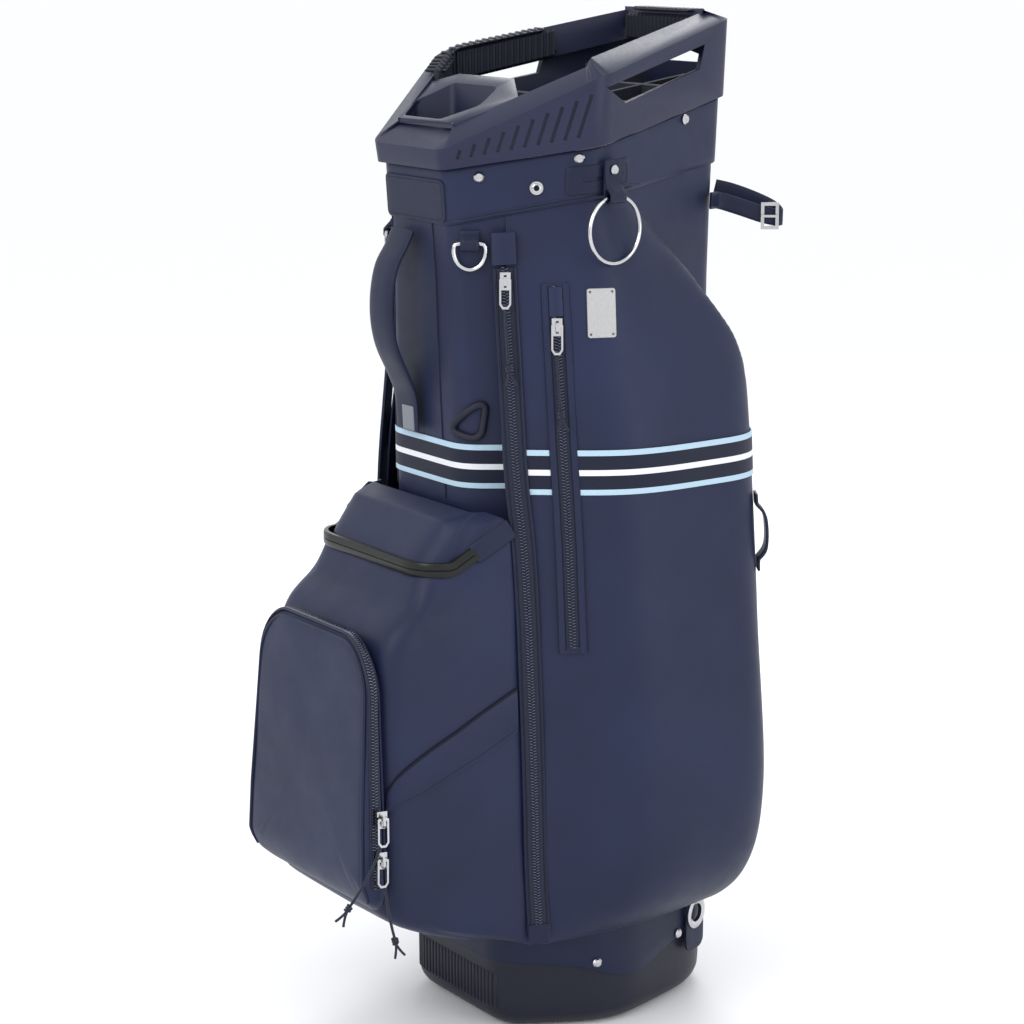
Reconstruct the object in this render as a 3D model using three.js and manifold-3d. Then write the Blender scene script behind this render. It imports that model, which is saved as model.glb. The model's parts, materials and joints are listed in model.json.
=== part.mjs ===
// Golf cart bag in millimetres, +Z up: front (ball pocket) towards -Y, the dressed side towards +X.
import * as THREE from 'three';
import Module from 'manifold-3d';

const wasm = await Module();
wasm.setup();

// ---- driving dimensions (mm) ----
const GAP = 0.3; // clearance between neighbouring pieces
const LEATHER = 2.6; // thickness of a coated leather panel
const FOOT_H = 100; // height of the moulded base cup
const FOOT_WALL = 4;
const FOOT_EDGE = 22; // rounding of the base's lower edge
const ARC = 6; // segments in a rounded corner

// Plans run round six corners: front, side and rear on +X, then the same mirrored.
// Each level is z, front x, front y, side x, side y, rear x, rear y, then the three corner radii.
const FOOT_PLAN = [0, 72, -108, 124, -12, 84, 136, 42, 90, 80];
const BODY_LEVELS = [
  [100.3, 70, -106, 121, -13, 82, 133, 40, 88, 78],
  [330, 60, -128, 122, -30, 75, 132, 36, 66, 60],
  [560, 54, -136, 124, -36, 72, 133, 32, 60, 50],
  [727, 47, -140, 121, -38, 65, 133, 20, 40, 26],
  [832, 48, -147, 123, -41, 64, 137, 18, 34, 20],
];
const TOP_PLAN = [0, 52, -152, 128, -42, 68, 142, 16, 26, 16];

// Heights that rise to the rear: pairs of y, z.
const RIM_LOW = [[-152, 777], [-42, 797], [142, 830]];
const RIM_EDGE = [[-156, 792], [-42, 855], [146, 898]];
const RIM_TOP = [[-156, 808], [-42, 867], [146, 905]];
const COLLAR_LOW = [[-152, 727], [-42, 752], [142, 772]];
const DIVIDER_TOP = [[-80, 817], [142, 850]];

const along = (table, y) => {
  let i = 0;
  while (i < table.length - 2 && y > table[i + 1][0]) i += 1;
  const [y0, z0] = table[i];
  const [y1, z1] = table[i + 1];
  const t = Math.min(1, Math.max(0, (y - y0) / (y1 - y0)));
  return z0 + (z1 - z0) * t;
};
const V = (x, y, z) => new THREE.Vector3(x, y, z);
const mix = (a, b, t) => a + (b - a) * t;

// ---- closed bodies from rings and grids of points ----
function solid(points, faces) {
  const geometry = new THREE.BufferGeometry();
  let volume = 0;
  for (const [a, b, c] of faces) volume += points[a].dot(points[b].clone().cross(points[c]));
  const turned = volume < 0 ? faces.map(([a, b, c]) => [a, c, b]) : faces;
  const flatPoints = points.flatMap((p) => [p.x, p.y, p.z]);
  geometry.setAttribute('position', new THREE.Float32BufferAttribute(flatPoints, 3));
  geometry.setIndex(turned.flat());
  return geometry;
}

// Joins rings of equal count; wrap closes the last on the first, otherwise both ends get a fan.
function skin(rings, wrap = false) {
  const n = rings[0].length;
  const points = rings.flat();
  const faces = [];
  const last = wrap ? rings.length : rings.length - 1;
  for (let r = 0; r < last; r += 1) {
    const s = (r + 1) % rings.length;
    for (let i = 0; i < n; i += 1) {
      const j = (i + 1) % n;
      faces.push([r * n + i, r * n + j, s * n + j], [r * n + i, s * n + j, s * n + i]);
    }
  }
  if (!wrap) {
    for (const [r, turn] of [[0, true], [rings.length - 1, false]]) {
      const centre = rings[r].reduce((sum, p) => sum.add(p), V(0, 0, 0)).divideScalar(n);
      points.push(centre);
      for (let i = 0; i < n; i += 1) {
        const j = (i + 1) % n;
        const face = [r * n + i, r * n + j, points.length - 1];
        faces.push(turn ? [face[1], face[0], face[2]] : face);
      }
    }
  }
  return solid(points, faces);
}

// A sheet between two grids of points: a closed slab with an edge strip all round.
function slab(outer, inner) {
  const rows = outer.length;
  const cols = outer[0].length;
  const points = [...outer.flat(), ...inner.flat()];
  const top = (r, c) => r * cols + c;
  const low = (r, c) => rows * cols + r * cols + c;
  const faces = [];
  const quad = (a, b, c, d) => faces.push([a, b, c], [a, c, d]);
  for (let r = 0; r < rows - 1; r += 1) {
    for (let c = 0; c < cols - 1; c += 1) {
      quad(top(r, c), top(r, c + 1), top(r + 1, c + 1), top(r + 1, c));
      quad(low(r, c), low(r + 1, c), low(r + 1, c + 1), low(r, c + 1));
    }
    quad(top(r, 0), top(r + 1, 0), low(r + 1, 0), low(r, 0));
    quad(top(r, cols - 1), low(r, cols - 1), low(r + 1, cols - 1), top(r + 1, cols - 1));
  }
  for (let c = 0; c < cols - 1; c += 1) {
    quad(top(0, c), low(0, c), low(0, c + 1), top(0, c + 1));
    quad(top(rows - 1, c), top(rows - 1, c + 1), low(rows - 1, c + 1), low(rows - 1, c));
  }
  return solid(points, faces);
}

// Moves every point of a grid along the surface normal; outward is away from the bag's axis.
function offset(grid, distance) {
  return grid.map((row, r) => row.map((p, c) => {
    const du = row[Math.min(c + 1, row.length - 1)].clone().sub(row[Math.max(c - 1, 0)]);
    const dv = grid[Math.min(r + 1, grid.length - 1)][c].clone().sub(grid[Math.max(r - 1, 0)][c]);
    const normal = du.cross(dv).normalize();
    return p.clone().addScaledVector(normal, distance);
  }));
}

const sheet = (grid, lift, thickness) => slab(offset(grid, lift + thickness), offset(grid, lift));

// ---- plans ----
function cornersOf(level) {
  const [, fx, fy, sx, sy, rx, ry, rf, rs, rr] = level;
  const near = [[fx, fy, rf], [sx, sy, rs], [rx, ry, rr]];
  const far = near.map(([x, y, r]) => [-x, y, r]).reverse();
  return [...near, ...far];
}

function rounded(corners, steps = ARC) {
  const ring = [];
  corners.forEach(([x, y, radius], i) => {
    const n = corners.length;
    const at = new THREE.Vector2(x, y);
    const back = new THREE.Vector2(...corners[(i + n - 1) % n]).sub(at);
    const on = new THREE.Vector2(...corners[(i + 1) % n]).sub(at);
    const half = Math.acos(back.clone().normalize().dot(on.clone().normalize())) / 2;
    const reach = Math.min(radius / Math.tan(half), back.length() / 2 - 1, on.length() / 2 - 1);
    const start = at.clone().add(back.setLength(reach));
    const end = at.clone().add(on.setLength(reach));
    for (let k = 0; k <= steps; k += 1) {
      const t = k / steps;
      const a = start.clone().lerp(at, t);
      const b = at.clone().lerp(end, t);
      ring.push(a.lerp(b, t));
    }
  });
  return ring;
}

function inset(ring, distance) {
  const n = ring.length;
  return ring.map((p, i) => {
    const d = ring[(i + 1) % n].clone().sub(ring[(i + n - 1) % n]).normalize();
    return new THREE.Vector2(p.x - d.y * distance, p.y + d.x * distance);
  });
}

const BODY_RINGS = BODY_LEVELS.map((level) => rounded(cornersOf(level)));

function bodyRing(z) {
  let i = 0;
  while (i < BODY_LEVELS.length - 2 && z > BODY_LEVELS[i + 1][0]) i += 1;
  const t = (z - BODY_LEVELS[i][0]) / (BODY_LEVELS[i + 1][0] - BODY_LEVELS[i][0]);
  return BODY_RINGS[i].map((p, k) => p.clone().lerp(BODY_RINGS[i + 1][k], t));
}

// Distance from the axis to the body's outer face in a direction, at a height.
function bodyReach(x, y, z) {
  const ring = bodyRing(z);
  const d = new THREE.Vector2(x, y).normalize();
  let reach = 0;
  ring.forEach((p, i) => {
    const e = ring[(i + 1) % ring.length].clone().sub(p);
    const cross = d.cross(e);
    if (Math.abs(cross) < 1e-9) return;
    const s = p.cross(e) / cross;
    const t = p.cross(d) / cross;
    if (s > 0 && t >= -1e-6 && t <= 1 + 1e-6) reach = Math.max(reach, s);
  });
  return reach;
}

function clear(x, y, z, gap) {
  const r = Math.hypot(x, y);
  const least = bodyReach(x, y, z) + gap;
  const k = r < least ? least / r : 1;
  return V(x * k, y * k, z);
}

// A body ring whose height follows the rim: share 0 at zLow(y), 1 at zHigh(y).
function tiltedRing(zLow, zHigh, share, depth) {
  const n = BODY_RINGS[0].length;
  const ring = [];
  for (let i = 0; i < n; i += 1) {
    let z = mix(zLow(0), zHigh(0), share);
    for (let pass = 0; pass < 3; pass += 1) {
      const y = bodyRing(z)[i].y;
      z = mix(zLow(y), zHigh(y), share);
    }
    const p = inset(bodyRing(z), depth)[i];
    ring.push(V(p.x, p.y, z));
  }
  return ring;
}

const level = (ring, z) => ring.map((p) => V(p.x, p.y, z));

// ---- booleans ----
const MERGE_DECIMALS = 4;
function toManifold(g) {
  const position = g.getAttribute('position');
  const keys = new Map();
  const verts = [];
  const map = [];
  for (let i = 0; i < position.count; i += 1) {
    const p = [position.getX(i), position.getY(i), position.getZ(i)];
    const key = p.map((v) => v.toFixed(MERGE_DECIMALS)).join();
    if (!keys.has(key)) {
      keys.set(key, keys.size);
      verts.push(...p);
    }
    map.push(keys.get(key));
  }
  const order = g.index ? [...g.index.array] : [...map.keys()];
  const tris = [];
  for (let i = 0; i < order.length; i += 3) {
    const t = [map[order[i]], map[order[i + 1]], map[order[i + 2]]];
    if (t[0] !== t[1] && t[1] !== t[2] && t[2] !== t[0]) tris.push(...t);
  }
  const vertProperties = new Float32Array(verts);
  const triVerts = new Uint32Array(tris);
  return new wasm.Manifold(new wasm.Mesh({ numProp: 3, vertProperties, triVerts }));
}

function fromManifold(shape) {
  const mesh = shape.getMesh();
  const geometry = new THREE.BufferGeometry();
  geometry.setAttribute('position', new THREE.Float32BufferAttribute(mesh.vertProperties, 3));
  geometry.setIndex([...mesh.triVerts]);
  return geometry;
}

// ---- placing small pieces: local x along the face, y up, z out of the face ----
function placed(geometry, at, facing, lean = 0) {
  const out = V(Math.cos(facing) * Math.cos(lean), Math.sin(facing) * Math.cos(lean), Math.sin(lean));
  const side = V(-Math.sin(facing), Math.cos(facing), 0);
  const up = out.clone().cross(side);
  const basis = new THREE.Matrix4().makeBasis(side, up, out).setPosition(at);
  return geometry.clone().applyMatrix4(basis);
}

// Draws a closed outline through flat [x, y] points.
function drawn(outline, points) {
  points.forEach(([a, b], k) => (k ? outline.lineTo(a, b) : outline.moveTo(a, b)));
  outline.closePath();
}

function plate(width, height, thickness, radius, hole) {
  const shape = new THREE.Shape();
  const w = width / 2;
  const h = height / 2;
  const r = Math.min(radius, w - 0.01, h - 0.01);
  shape.absarc(w - r, h - r, r, 0, Math.PI / 2);
  shape.absarc(-w + r, h - r, r, Math.PI / 2, Math.PI);
  shape.absarc(-w + r, -h + r, r, Math.PI, 1.5 * Math.PI);
  shape.absarc(w - r, -h + r, r, 1.5 * Math.PI, 2 * Math.PI);
  if (hole) shape.holes.push(hole);
  return new THREE.ExtrudeGeometry(shape, { depth: thickness, bevelEnabled: false, curveSegments: 5 });
}

const TUBE_SIDES = 8;
function tube(points, radius, steps) {
  const path = new THREE.CatmullRomCurve3(points, false, 'centripetal');
  const shape = new THREE.Shape();
  shape.absarc(0, 0, radius, 0, 2 * Math.PI);
  const curveSegments = TUBE_SIDES;
  return new THREE.ExtrudeGeometry(shape, { extrudePath: path, steps, bevelEnabled: false, curveSegments });
}

// ---- faces of the bag ----
const DIAG = Math.atan2(-0.573, 0.82); // the slanting face beside the front, +X side

// ---- base ----
function footRing(shrink, z) {
  return level(inset(rounded(cornersOf(FOOT_PLAN)), shrink), z);
}

function baseCup() {
  const rings = [];
  const steps = 5;
  for (let k = 0; k <= steps; k += 1) {
    const a = (k / steps) * Math.PI / 2;
    rings.push(footRing(FOOT_EDGE * (1 - Math.sin(a)), FOOT_EDGE * (1 - Math.cos(a))));
  }
  rings.push(footRing(0, 60), footRing(2, FOOT_H));
  rings.push(footRing(2 + FOOT_WALL, FOOT_H));
  rings.push(footRing(FOOT_WALL, FOOT_EDGE + 4));
  rings.push(footRing(FOOT_EDGE, FOOT_WALL + 1));
  return skin(rings);
}

// Leather hem over the top of the base, its lower edge swooping down towards the sides.
const HEM_TOP = 110;
const HEM_LOW = 56;
const HEM_SWOOP = { depth: 10, start: -70, length: 150 };
const HEM_THICK = 2.4;
function hemLow(y) {
  const share = Math.min(1, Math.max(0, (y - HEM_SWOOP.start) / HEM_SWOOP.length));
  return HEM_LOW + HEM_SWOOP.depth * Math.cos(share * 2 * Math.PI);
}

function baseTrim() {
  const ring = rounded(cornersOf(FOOT_PLAN));
  const around = (d, high) => inset(ring, -d).map((p) => V(p.x, p.y, high ? HEM_TOP : hemLow(p.y)));
  const outer = GAP + HEM_THICK;
  return skin([around(GAP, false), around(outer, false), around(outer, true), around(GAP, true)], true);
}

// ---- body ----
function bodyTube() {
  const low = () => BODY_LEVELS[0][0];
  const high = (y) => along(RIM_LOW, y) - GAP;
  const shares = [0, 0.16, 0.32, 0.5, 0.64, 0.76, 0.86, 0.93, 1];
  const outer = shares.map((s) => tiltedRing(low, high, s, 0));
  const inner = shares.map((s) => tiltedRing(low, high, s, LEATHER)).reverse();
  return skin([...outer, ...inner], true);
}

function collarBand() {
  const low = (y) => along(COLLAR_LOW, y);
  const high = (y) => along(RIM_LOW, y) - 1.2;
  const shares = [0, 0.5, 1];
  const outer = shares.map((s) => tiltedRing(low, high, s, -3.2));
  const inner = shares.map((s) => tiltedRing(low, high, s, -GAP)).reverse();
  return skin([...outer, ...inner], true);
}

// ---- moulded top ----
const RAIL = 20; // how far the rail reaches inwards
const TOP_WALL = 4;
const WELL = { x: -12, rear: -74, front: -130, halfFront: 28, halfSide: 48, halfRear: 34, sideY: -104 };
const WINDOW_LOW = [[-20, 829], [110, 857]];
const WINDOW_HIGH = [[-40, 845], [120, 879]];
const NEAR_WINDOW = [-37, -10, 98, 104]; // y of the top front, bottom front, bottom rear and top rear corners
const FAR_WINDOW = [-52, -26, 52, 58];

function topRing() {
  const ring = rounded(cornersOf(TOP_PLAN));
  const wall = inset(ring, TOP_WALL);
  const flare = inset(ring, -2.5);
  const rail = inset(ring, RAIL);
  const sections = ring.map((p, i) => {
    const edge = along(RIM_EDGE, p.y);
    const top = along(RIM_TOP, p.y);
    const under = Math.max(edge - 19, along(RIM_LOW, p.y) + 3);
    return [
      V(p.x, p.y, along(RIM_LOW, p.y)), V(flare[i].x, flare[i].y, edge), V(rail[i].x, rail[i].y, top),
      V(rail[i].x, rail[i].y, under), V(wall[i].x, wall[i].y, under - 2),
      V(wall[i].x, wall[i].y, along(RIM_LOW, p.y)),
    ];
  });
  return skin(sections, true);
}

// A prism through the wall: four y/z corners swept along x, or x/z corners along y.
function prism(corners, from, to, sweep) {
  const at = (depth) => corners.map(([a, z]) => (sweep === 'x' ? V(depth, a, z) : V(a, depth, z)));
  return skin([at(from), at(to)]);
}

function wellCorners(grow) {
  const w = WELL;
  const list = [
    [w.halfFront, w.front - grow], [w.halfSide + grow, w.sideY], [w.halfRear + grow / 2, w.rear + grow],
  ];
  const mirrored = list.map(([x, y]) => [-x, y]).reverse();
  return [...list, ...mirrored].map(([x, y]) => [x + w.x, y]);
}

const deckTop = (y) => along([[-137, 808], [-60, 849]], y);

function wellRing(grow, height) {
  return rounded(wellCorners(grow).map(([x, y]) => [x, y, 8]), 3).map((p) => V(p.x, p.y, height(p.y)));
}

const DECK_T = 4;
const DECK_EDGE = [
  [-140, -150], [140, -150], [140, -90], [66, -84],
  [26, -60], [-58, -60], [-98, -84], [-140, -90],
];
function deck() {
  const ring = (drop) => DECK_EDGE.map(([x, y]) => V(x, y, deckTop(y) - drop));
  const inside = inset(rounded(cornersOf(TOP_PLAN)), RAIL - 2);
  const core = toManifold(skin([level(inside, 700), level(inside, 900)]));
  return toManifold(skin([ring(DECK_T), ring(0)])).intersect(core);
}

const WELL_FLOOR = 664; // the well is open below, like the club slots
function putterWell() {
  return skin([wellRing(3, () => WELL_FLOOR), wellRing(3, (y) => deckTop(y) - DECK_T / 2)]);
}

const RIBS = 10; // slanted slots moulded into the wall beside the front
function ribCut(k) {
  const t = (k + 1.2) / (RIBS + 1.4);
  const x = mix(52, 128, t);
  const y = mix(-152, -42, t);
  const low = along(RIM_LOW, y) + 7;
  const high = along(RIM_EDGE, y) - 6;
  const length = (high - low) * 0.92;
  const bar = new THREE.BoxGeometry(3, length, 3.2);
  bar.rotateZ(-0.3);
  return placed(bar, V(x, y, (low + high) / 2), DIAG, -0.03);
}

function topMoulding() {
  let shape = toManifold(topRing()).add(deck()).add(toManifold(putterWell()));
  const hole = toManifold(skin([wellRing(0, () => WELL_FLOOR - 1), wellRing(0, () => 880)]));
  shape = shape.subtract(hole);
  const sideCut = ([start, low, end, top]) => [
    [start, along(WINDOW_HIGH, start)], [low, along(WINDOW_LOW, low)],
    [end, along(WINDOW_LOW, end)], [top, along(WINDOW_HIGH, top)],
  ];
  shape = shape.subtract(toManifold(prism(sideCut(NEAR_WINDOW), 50, 150, 'x')));
  shape = shape.subtract(toManifold(prism(sideCut(FAR_WINDOW), -150, -50, 'x')));
  const rearCut = [[-50, 857], [50, 857], [54, 884], [-54, 884]];
  shape = shape.subtract(toManifold(prism(rearCut, 112, 170, 'y')));
  for (let k = 0; k < RIBS; k += 1) {
    shape = shape.subtract(toManifold(ribCut(k)));
    shape = shape.subtract(toManifold(mirrorX(ribCut(k))));
  }
  return fromManifold(shape);
}

function mirrorX(geometry) {
  const g = geometry.clone().applyMatrix4(new THREE.Matrix4().makeScale(-1, 1, 1));
  if (g.index) {
    const index = g.index.array;
    for (let i = 0; i < index.length; i += 3) [index[i], index[i + 1]] = [index[i + 1], index[i]];
    return g;
  }
  for (const name of Object.keys(g.attributes)) {
    const a = g.attributes[name];
    for (let i = 0; i < a.count; i += 3) {
      for (let k = 0; k < a.itemSize; k += 1) {
        const held = a.array[i * a.itemSize + k];
        a.array[i * a.itemSize + k] = a.array[(i + 1) * a.itemSize + k];
        a.array[(i + 1) * a.itemSize + k] = held;
      }
    }
  }
  return g;
}


// ---- dividers: padded bars with webs, each carrying a thin curtain down to the base ----
const ROWS = [-54, 10, 74];
const BAR_T = 6;
const BAR_H = 46;
const WEB_X = 32;
const CURTAIN_T = 1.6;
const CURTAIN_LOW = 104;

const halfInside = (y) => {
  let x = 40;
  while (Math.hypot(x, y) < bodyReach(x, y, 800) - LEATHER - 1.2) x += 0.5;
  return x - 0.5;
};

function wallSlab(x0, x1, y0, y1, low, high) {
  const corners = [[x0, y0], [x1, y0], [x1, y1], [x0, y1]];
  const ring = (top) => corners.map(([x, y]) => V(x, y, top ? high(y) : low));
  return toManifold(skin([ring(false), ring(true)]));
}

function dividerRow(k) {
  const y = ROWS[k];
  const next = k + 1 < ROWS.length ? ROWS[k + 1] - BAR_T / 2 - GAP : 124;
  const top = (at) => along(DIVIDER_TOP, at);
  const low = along(DIVIDER_TOP, y) - BAR_H;
  const half = Math.min(halfInside(y - BAR_T), halfInside(y + BAR_T));
  const hem = Math.min(half, 88);
  let shape = wallSlab(-half, half, y - BAR_T / 2, y + BAR_T / 2, low, top);
  const curtain = () => low + 2;
  shape = shape.add(wallSlab(-hem, hem, y - CURTAIN_T / 2, y + CURTAIN_T / 2, CURTAIN_LOW, curtain));
  for (const x of [-WEB_X, WEB_X]) {
    shape = shape.add(wallSlab(x - BAR_T / 2, x + BAR_T / 2, y, next, low, top));
    const end = next - BAR_T / 2 - 2;
    shape = shape.add(wallSlab(x - CURTAIN_T / 2, x + CURTAIN_T / 2, y, end, CURTAIN_LOW, curtain));
  }
  return fromManifold(shape);
}

// ---- ribbed grips on the inner side of the rail ----
const RIB_PITCH = 5.6;

function grip(from, to) {
  const ring = inset(rounded(cornersOf(TOP_PLAN)), RAIL + GAP * 2);
  const points = [];
  for (let bearing = from; bearing <= to; bearing += 1) {
    const hit = ringHit(ring, THREE.MathUtils.degToRad(bearing));
    points.push(V(hit.x, hit.y, 0));
  }
  const curve = new THREE.CatmullRomCurve3(points, false, 'centripetal');
  const ribs = Math.round(curve.getLength() / RIB_PITCH);
  const sections = [];
  for (let k = 0; k <= ribs * 4; k += 1) {
    const p = curve.getPointAt(k / (ribs * 4));
    const t = curve.getTangentAt(k / (ribs * 4));
    const inward = V(-t.y, t.x, 0).normalize();
    if (inward.dot(p) > 0) inward.negate();
    const depth = k % 4 < 2 ? 4.4 : 2.6;
    const top = along(RIM_TOP, p.y) - 0.6;
    const low = along(RIM_EDGE, p.y) - 18;
    const at = (d, z) => V(p.x + inward.x * d, p.y + inward.y * d, z);
    sections.push([at(0, low), at(depth, low + 3), at(depth, top - 3), at(0, top)]);
  }
  return skin(sections);
}

// ---- patches that follow the body or the collar ----
function patchOn(from, to, low, high, gap, thickness, cols = 8, rows = 2) {
  const grid = (extra) => {
    const list = [];
    for (let r = 0; r <= rows; r += 1) {
      const row = [];
      for (let c = 0; c <= cols; c += 1) {
        const a = THREE.MathUtils.degToRad(mix(from, to, c / cols));
        const [x, y] = [Math.cos(a), Math.sin(a)];
        let z = mix(low(0), high(0), r / rows);
        let reach = 0;
        for (let pass = 0; pass < 3; pass += 1) {
          reach = bodyReach(x, y, z);
          z = mix(low(y * reach), high(y * reach), r / rows);
        }
        row.push(V(x * (reach + gap + extra), y * (reach + gap + extra), z));
      }
      list.push(row);
    }
    return list;
  };
  return slab(grid(thickness), grid(0));
}

const flat = (value) => () => value;
const COLLAR_OUT = 4.6; // radial room over the collar band

function rivetHead(radius, height) {
  const profile = [[0, 0], [radius, 0], [radius, height * 0.35], [radius * 0.72, height * 0.85], [0, height]];
  const head = new THREE.LatheGeometry(profile.map(([x, y]) => new THREE.Vector2(x, y)), 16);
  return head.rotateX(Math.PI / 2);
}

function eyeletRing(outer, inner, height) {
  const profile = [
    [inner, 0], [outer, 0], [outer, height * 0.5],
    [(inner + outer) / 2, height], [inner, height * 0.5], [inner, 0],
  ];
  const ring = new THREE.LatheGeometry(profile.map(([x, y]) => new THREE.Vector2(x, y)), 24);
  return ring.rotateX(Math.PI / 2);
}

// A strap folded round a ring's wire: a tail that lies on the face and an eye below it.
const LOOP_IN = 3.4; // half of the room inside the eye
function foldedTab(width, drop, rise) {
  const t = 1.6;
  const r = LOOP_IN + t;
  const shape = new THREE.Shape();
  shape.moveTo(-r, rise);
  shape.lineTo(-r, -drop);
  shape.absarc(0, -drop, r, Math.PI, 2 * Math.PI);
  shape.lineTo(r, 3.4);
  shape.lineTo(-r + 2 * t, 10.5);
  shape.lineTo(-r + 2 * t, rise);
  shape.closePath();
  const eye = new THREE.Path();
  eye.absarc(0, -drop, LOOP_IN, Math.PI, 2 * Math.PI);
  eye.lineTo(LOOP_IN, 1.8);
  eye.lineTo(-LOOP_IN, 7);
  eye.closePath();
  shape.holes.push(eye);
  const tab = new THREE.ExtrudeGeometry(shape, { depth: width, bevelEnabled: false, curveSegments: 8 });
  return tab.translate(0, 0, -width / 2).rotateY(-Math.PI / 2);
}

// A closed wire through flat [x, y] points.
function wireRing(points, radius, steps) {
  const path = new THREE.CatmullRomCurve3(points.map(([x, y]) => V(x, y, 0)), true, 'centripetal');
  const sections = [];
  for (let k = 0; k < steps; k += 1) {
    const p = path.getPointAt(k / steps);
    const t = path.getTangentAt(k / steps);
    const across = V(t.y, -t.x, 0).normalize();
    const ring = [];
    for (let i = 0; i < 8; i += 1) {
      const a = (i / 8) * 2 * Math.PI;
      ring.push(p.clone().addScaledVector(across, radius * Math.cos(a)).add(V(0, 0, radius * Math.sin(a))));
    }
    sections.push(ring);
  }
  return skin(sections, true);
}

// ---- zips: a tape, a slider with a bridge, a pull hanging in the bridge, a cord ----
const PULL = { width: 10, length: 25, wire: 2, bar: 1.5, high: 4.4 };

function sliderBody() {
  const base = new THREE.BoxGeometry(9, 15, 2.2).translate(0, 0, 1.1);
  const outline = new THREE.Shape();
  drawn(outline, [
    [-5.4, 1.6], [-5.4, 6.2], [-3.6, 8.2], [3.6, 8.2], [5.4, 6.2], [5.4, 1.6],
    [3.9, 1.6], [3.9, 5.8], [3.1, 6.7], [-3.1, 6.7], [-3.9, 5.8], [-3.9, 1.6],
  ]);
  const bridge = new THREE.ExtrudeGeometry(outline, { depth: 2.4, bevelEnabled: false });
  bridge.translate(0, 0, -1.2).rotateZ(Math.PI / 2).rotateY(Math.PI / 2);
  return fromManifold(toManifold(base).add(toManifold(bridge)));
}

function pullLoop() {
  const w = PULL.width / 2;
  const hole = new THREE.Path();
  hole.moveTo(-w + 1.6, -PULL.bar);
  hole.lineTo(-w + 1.6, -PULL.length + 4.5);
  hole.lineTo(-1.5, -PULL.length + 2);
  hole.lineTo(1.5, -PULL.length + 2);
  hole.lineTo(w - 1.6, -PULL.length + 4.5);
  hole.lineTo(w - 1.6, -PULL.bar);
  hole.closePath();
  const shape = new THREE.Shape();
  shape.moveTo(-w + 1, 0.9);
  shape.lineTo(-w, 0);
  shape.lineTo(-w, -PULL.length + 4);
  shape.lineTo(-w + 2.6, -PULL.length);
  shape.lineTo(w - 2.6, -PULL.length);
  shape.lineTo(w, -PULL.length + 4);
  shape.lineTo(w, 0);
  shape.lineTo(w - 1, 0.9);
  shape.closePath();
  shape.holes.push(hole);
  const loop = new THREE.ExtrudeGeometry(shape, { depth: 1.6, bevelEnabled: false });
  return loop.translate(0, 0, -0.8);
}

// A tape along a list of [x, y, z, facing in degrees], its width across the facing.
function tape(stations, width, lift, thickness) {
  const grid = (extra) => stations.map(([x, y, z, facing]) => {
    const a = THREE.MathUtils.degToRad(facing);
    const out = V(Math.cos(a), Math.sin(a), 0);
    const side = V(-Math.sin(a), Math.cos(a), 0);
    const middle = V(x, y, z).addScaledVector(out, lift + extra);
    return [-0.5, 0, 0.5].map((k) => middle.clone().addScaledVector(side, k * width));
  });
  return slab(grid(thickness), grid(0));
}

// ---- pockets ----
// z, front x, front y, side x, rear x of the apparel pocket's face.
const SIDE_ROWS = [
  [96, 118, -97, 128, 108], [112, 119, -99, 152, 140], [140, 119, -101, 172, 166], [178, 119, -103, 181, 182],
  [225, 119, -104, 184, 188], [300, 118, -106, 180, 182], [390, 115, -108, 172, 171],
  [460, 110, -109, 165, 164],
  [502, 104, -110.6, 161, 160], [543, 98.4, -110.4, 155, 155], [590, 92.5, -109.4, 147, 147],
  [640, 86.1, -108.3, 136, 120], [680, 81, -107.4, 128, 96], [712, 77, -106.7, 126, 86],
];
const SIDE_Y = -22;
const REAR_Y = 100;
const POCKET_CLEAR = 3.4;

function sideRow([z, fx, fy, sx, rx]) {
  const curve = new THREE.CatmullRomCurve3([
    V(fx, fy, z), V(mix(fx, sx, 0.72), mix(fy, SIDE_Y, 0.62), z), V(sx, SIDE_Y, z),
    V(mix(sx, rx, 0.5) + 5, 42, z), V(rx, REAR_Y, z), V(mix(rx, 84, 0.45), 124, z), V(76, 127, z),
  ], false, 'centripetal');
  return curve.getPoints(18).map((p) => clear(p.x, p.y, p.z, POCKET_CLEAR));
}

const SIDE_GRID = SIDE_ROWS.map(sideRow);

function sidePocket() {
  return sheet(SIDE_GRID, -LEATHER, LEATHER);
}

// Front y, front z, half width and back z of the pocket stack's rows; the back ends meet the long zip.
const STACK_ROWS = [
  [-130, 99, 92, 97], [-170, 106, 94, 99], [-225, 128, 95, 104], [-242, 146, 97, 118], [-243, 200, 98, 190],
  [-243, 300, 98, 290], [-243, 354, 97, 350], [-238, 384, 97, 382], [-225, 401, 95, 406],
  [-213, 410, 93, 430], [-213, 429, 90, 472],
];

function frontX(z) {
  let i = 0;
  while (i < SIDE_ROWS.length - 2 && z > SIDE_ROWS[i + 1][0]) i += 1;
  const t = (z - SIDE_ROWS[i][0]) / (SIDE_ROWS[i + 1][0] - SIDE_ROWS[i][0]);
  return [mix(SIDE_ROWS[i][1], SIDE_ROWS[i + 1][1], t), mix(SIDE_ROWS[i][2], SIDE_ROWS[i + 1][2], t)];
}

// A row from the long zip forwards, round the front corner and on to the other side.
function uRow(front, zFront, half, zBack, radius, back) {
  const [bx, by] = back;
  const near = [V(bx, by, zBack)];
  for (const t of [0.34, 0.68]) {
    near.push(V(mix(bx, half, t), mix(by, front + radius, t), mix(zBack, zFront, t * 0.96)));
  }
  for (let k = 0; k <= 4; k += 1) {
    const a = (k / 4) * Math.PI / 2;
    const x = half - radius + radius * Math.cos(a);
    near.push(V(x, front + radius - radius * Math.sin(a), zFront));
  }
  near.push(V(half * 0.4, front, zFront));
  const far = near.map((p) => V(-p.x, p.y, p.z));
  return [...far, V(0, front, zFront), ...near.reverse()];
}

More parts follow.
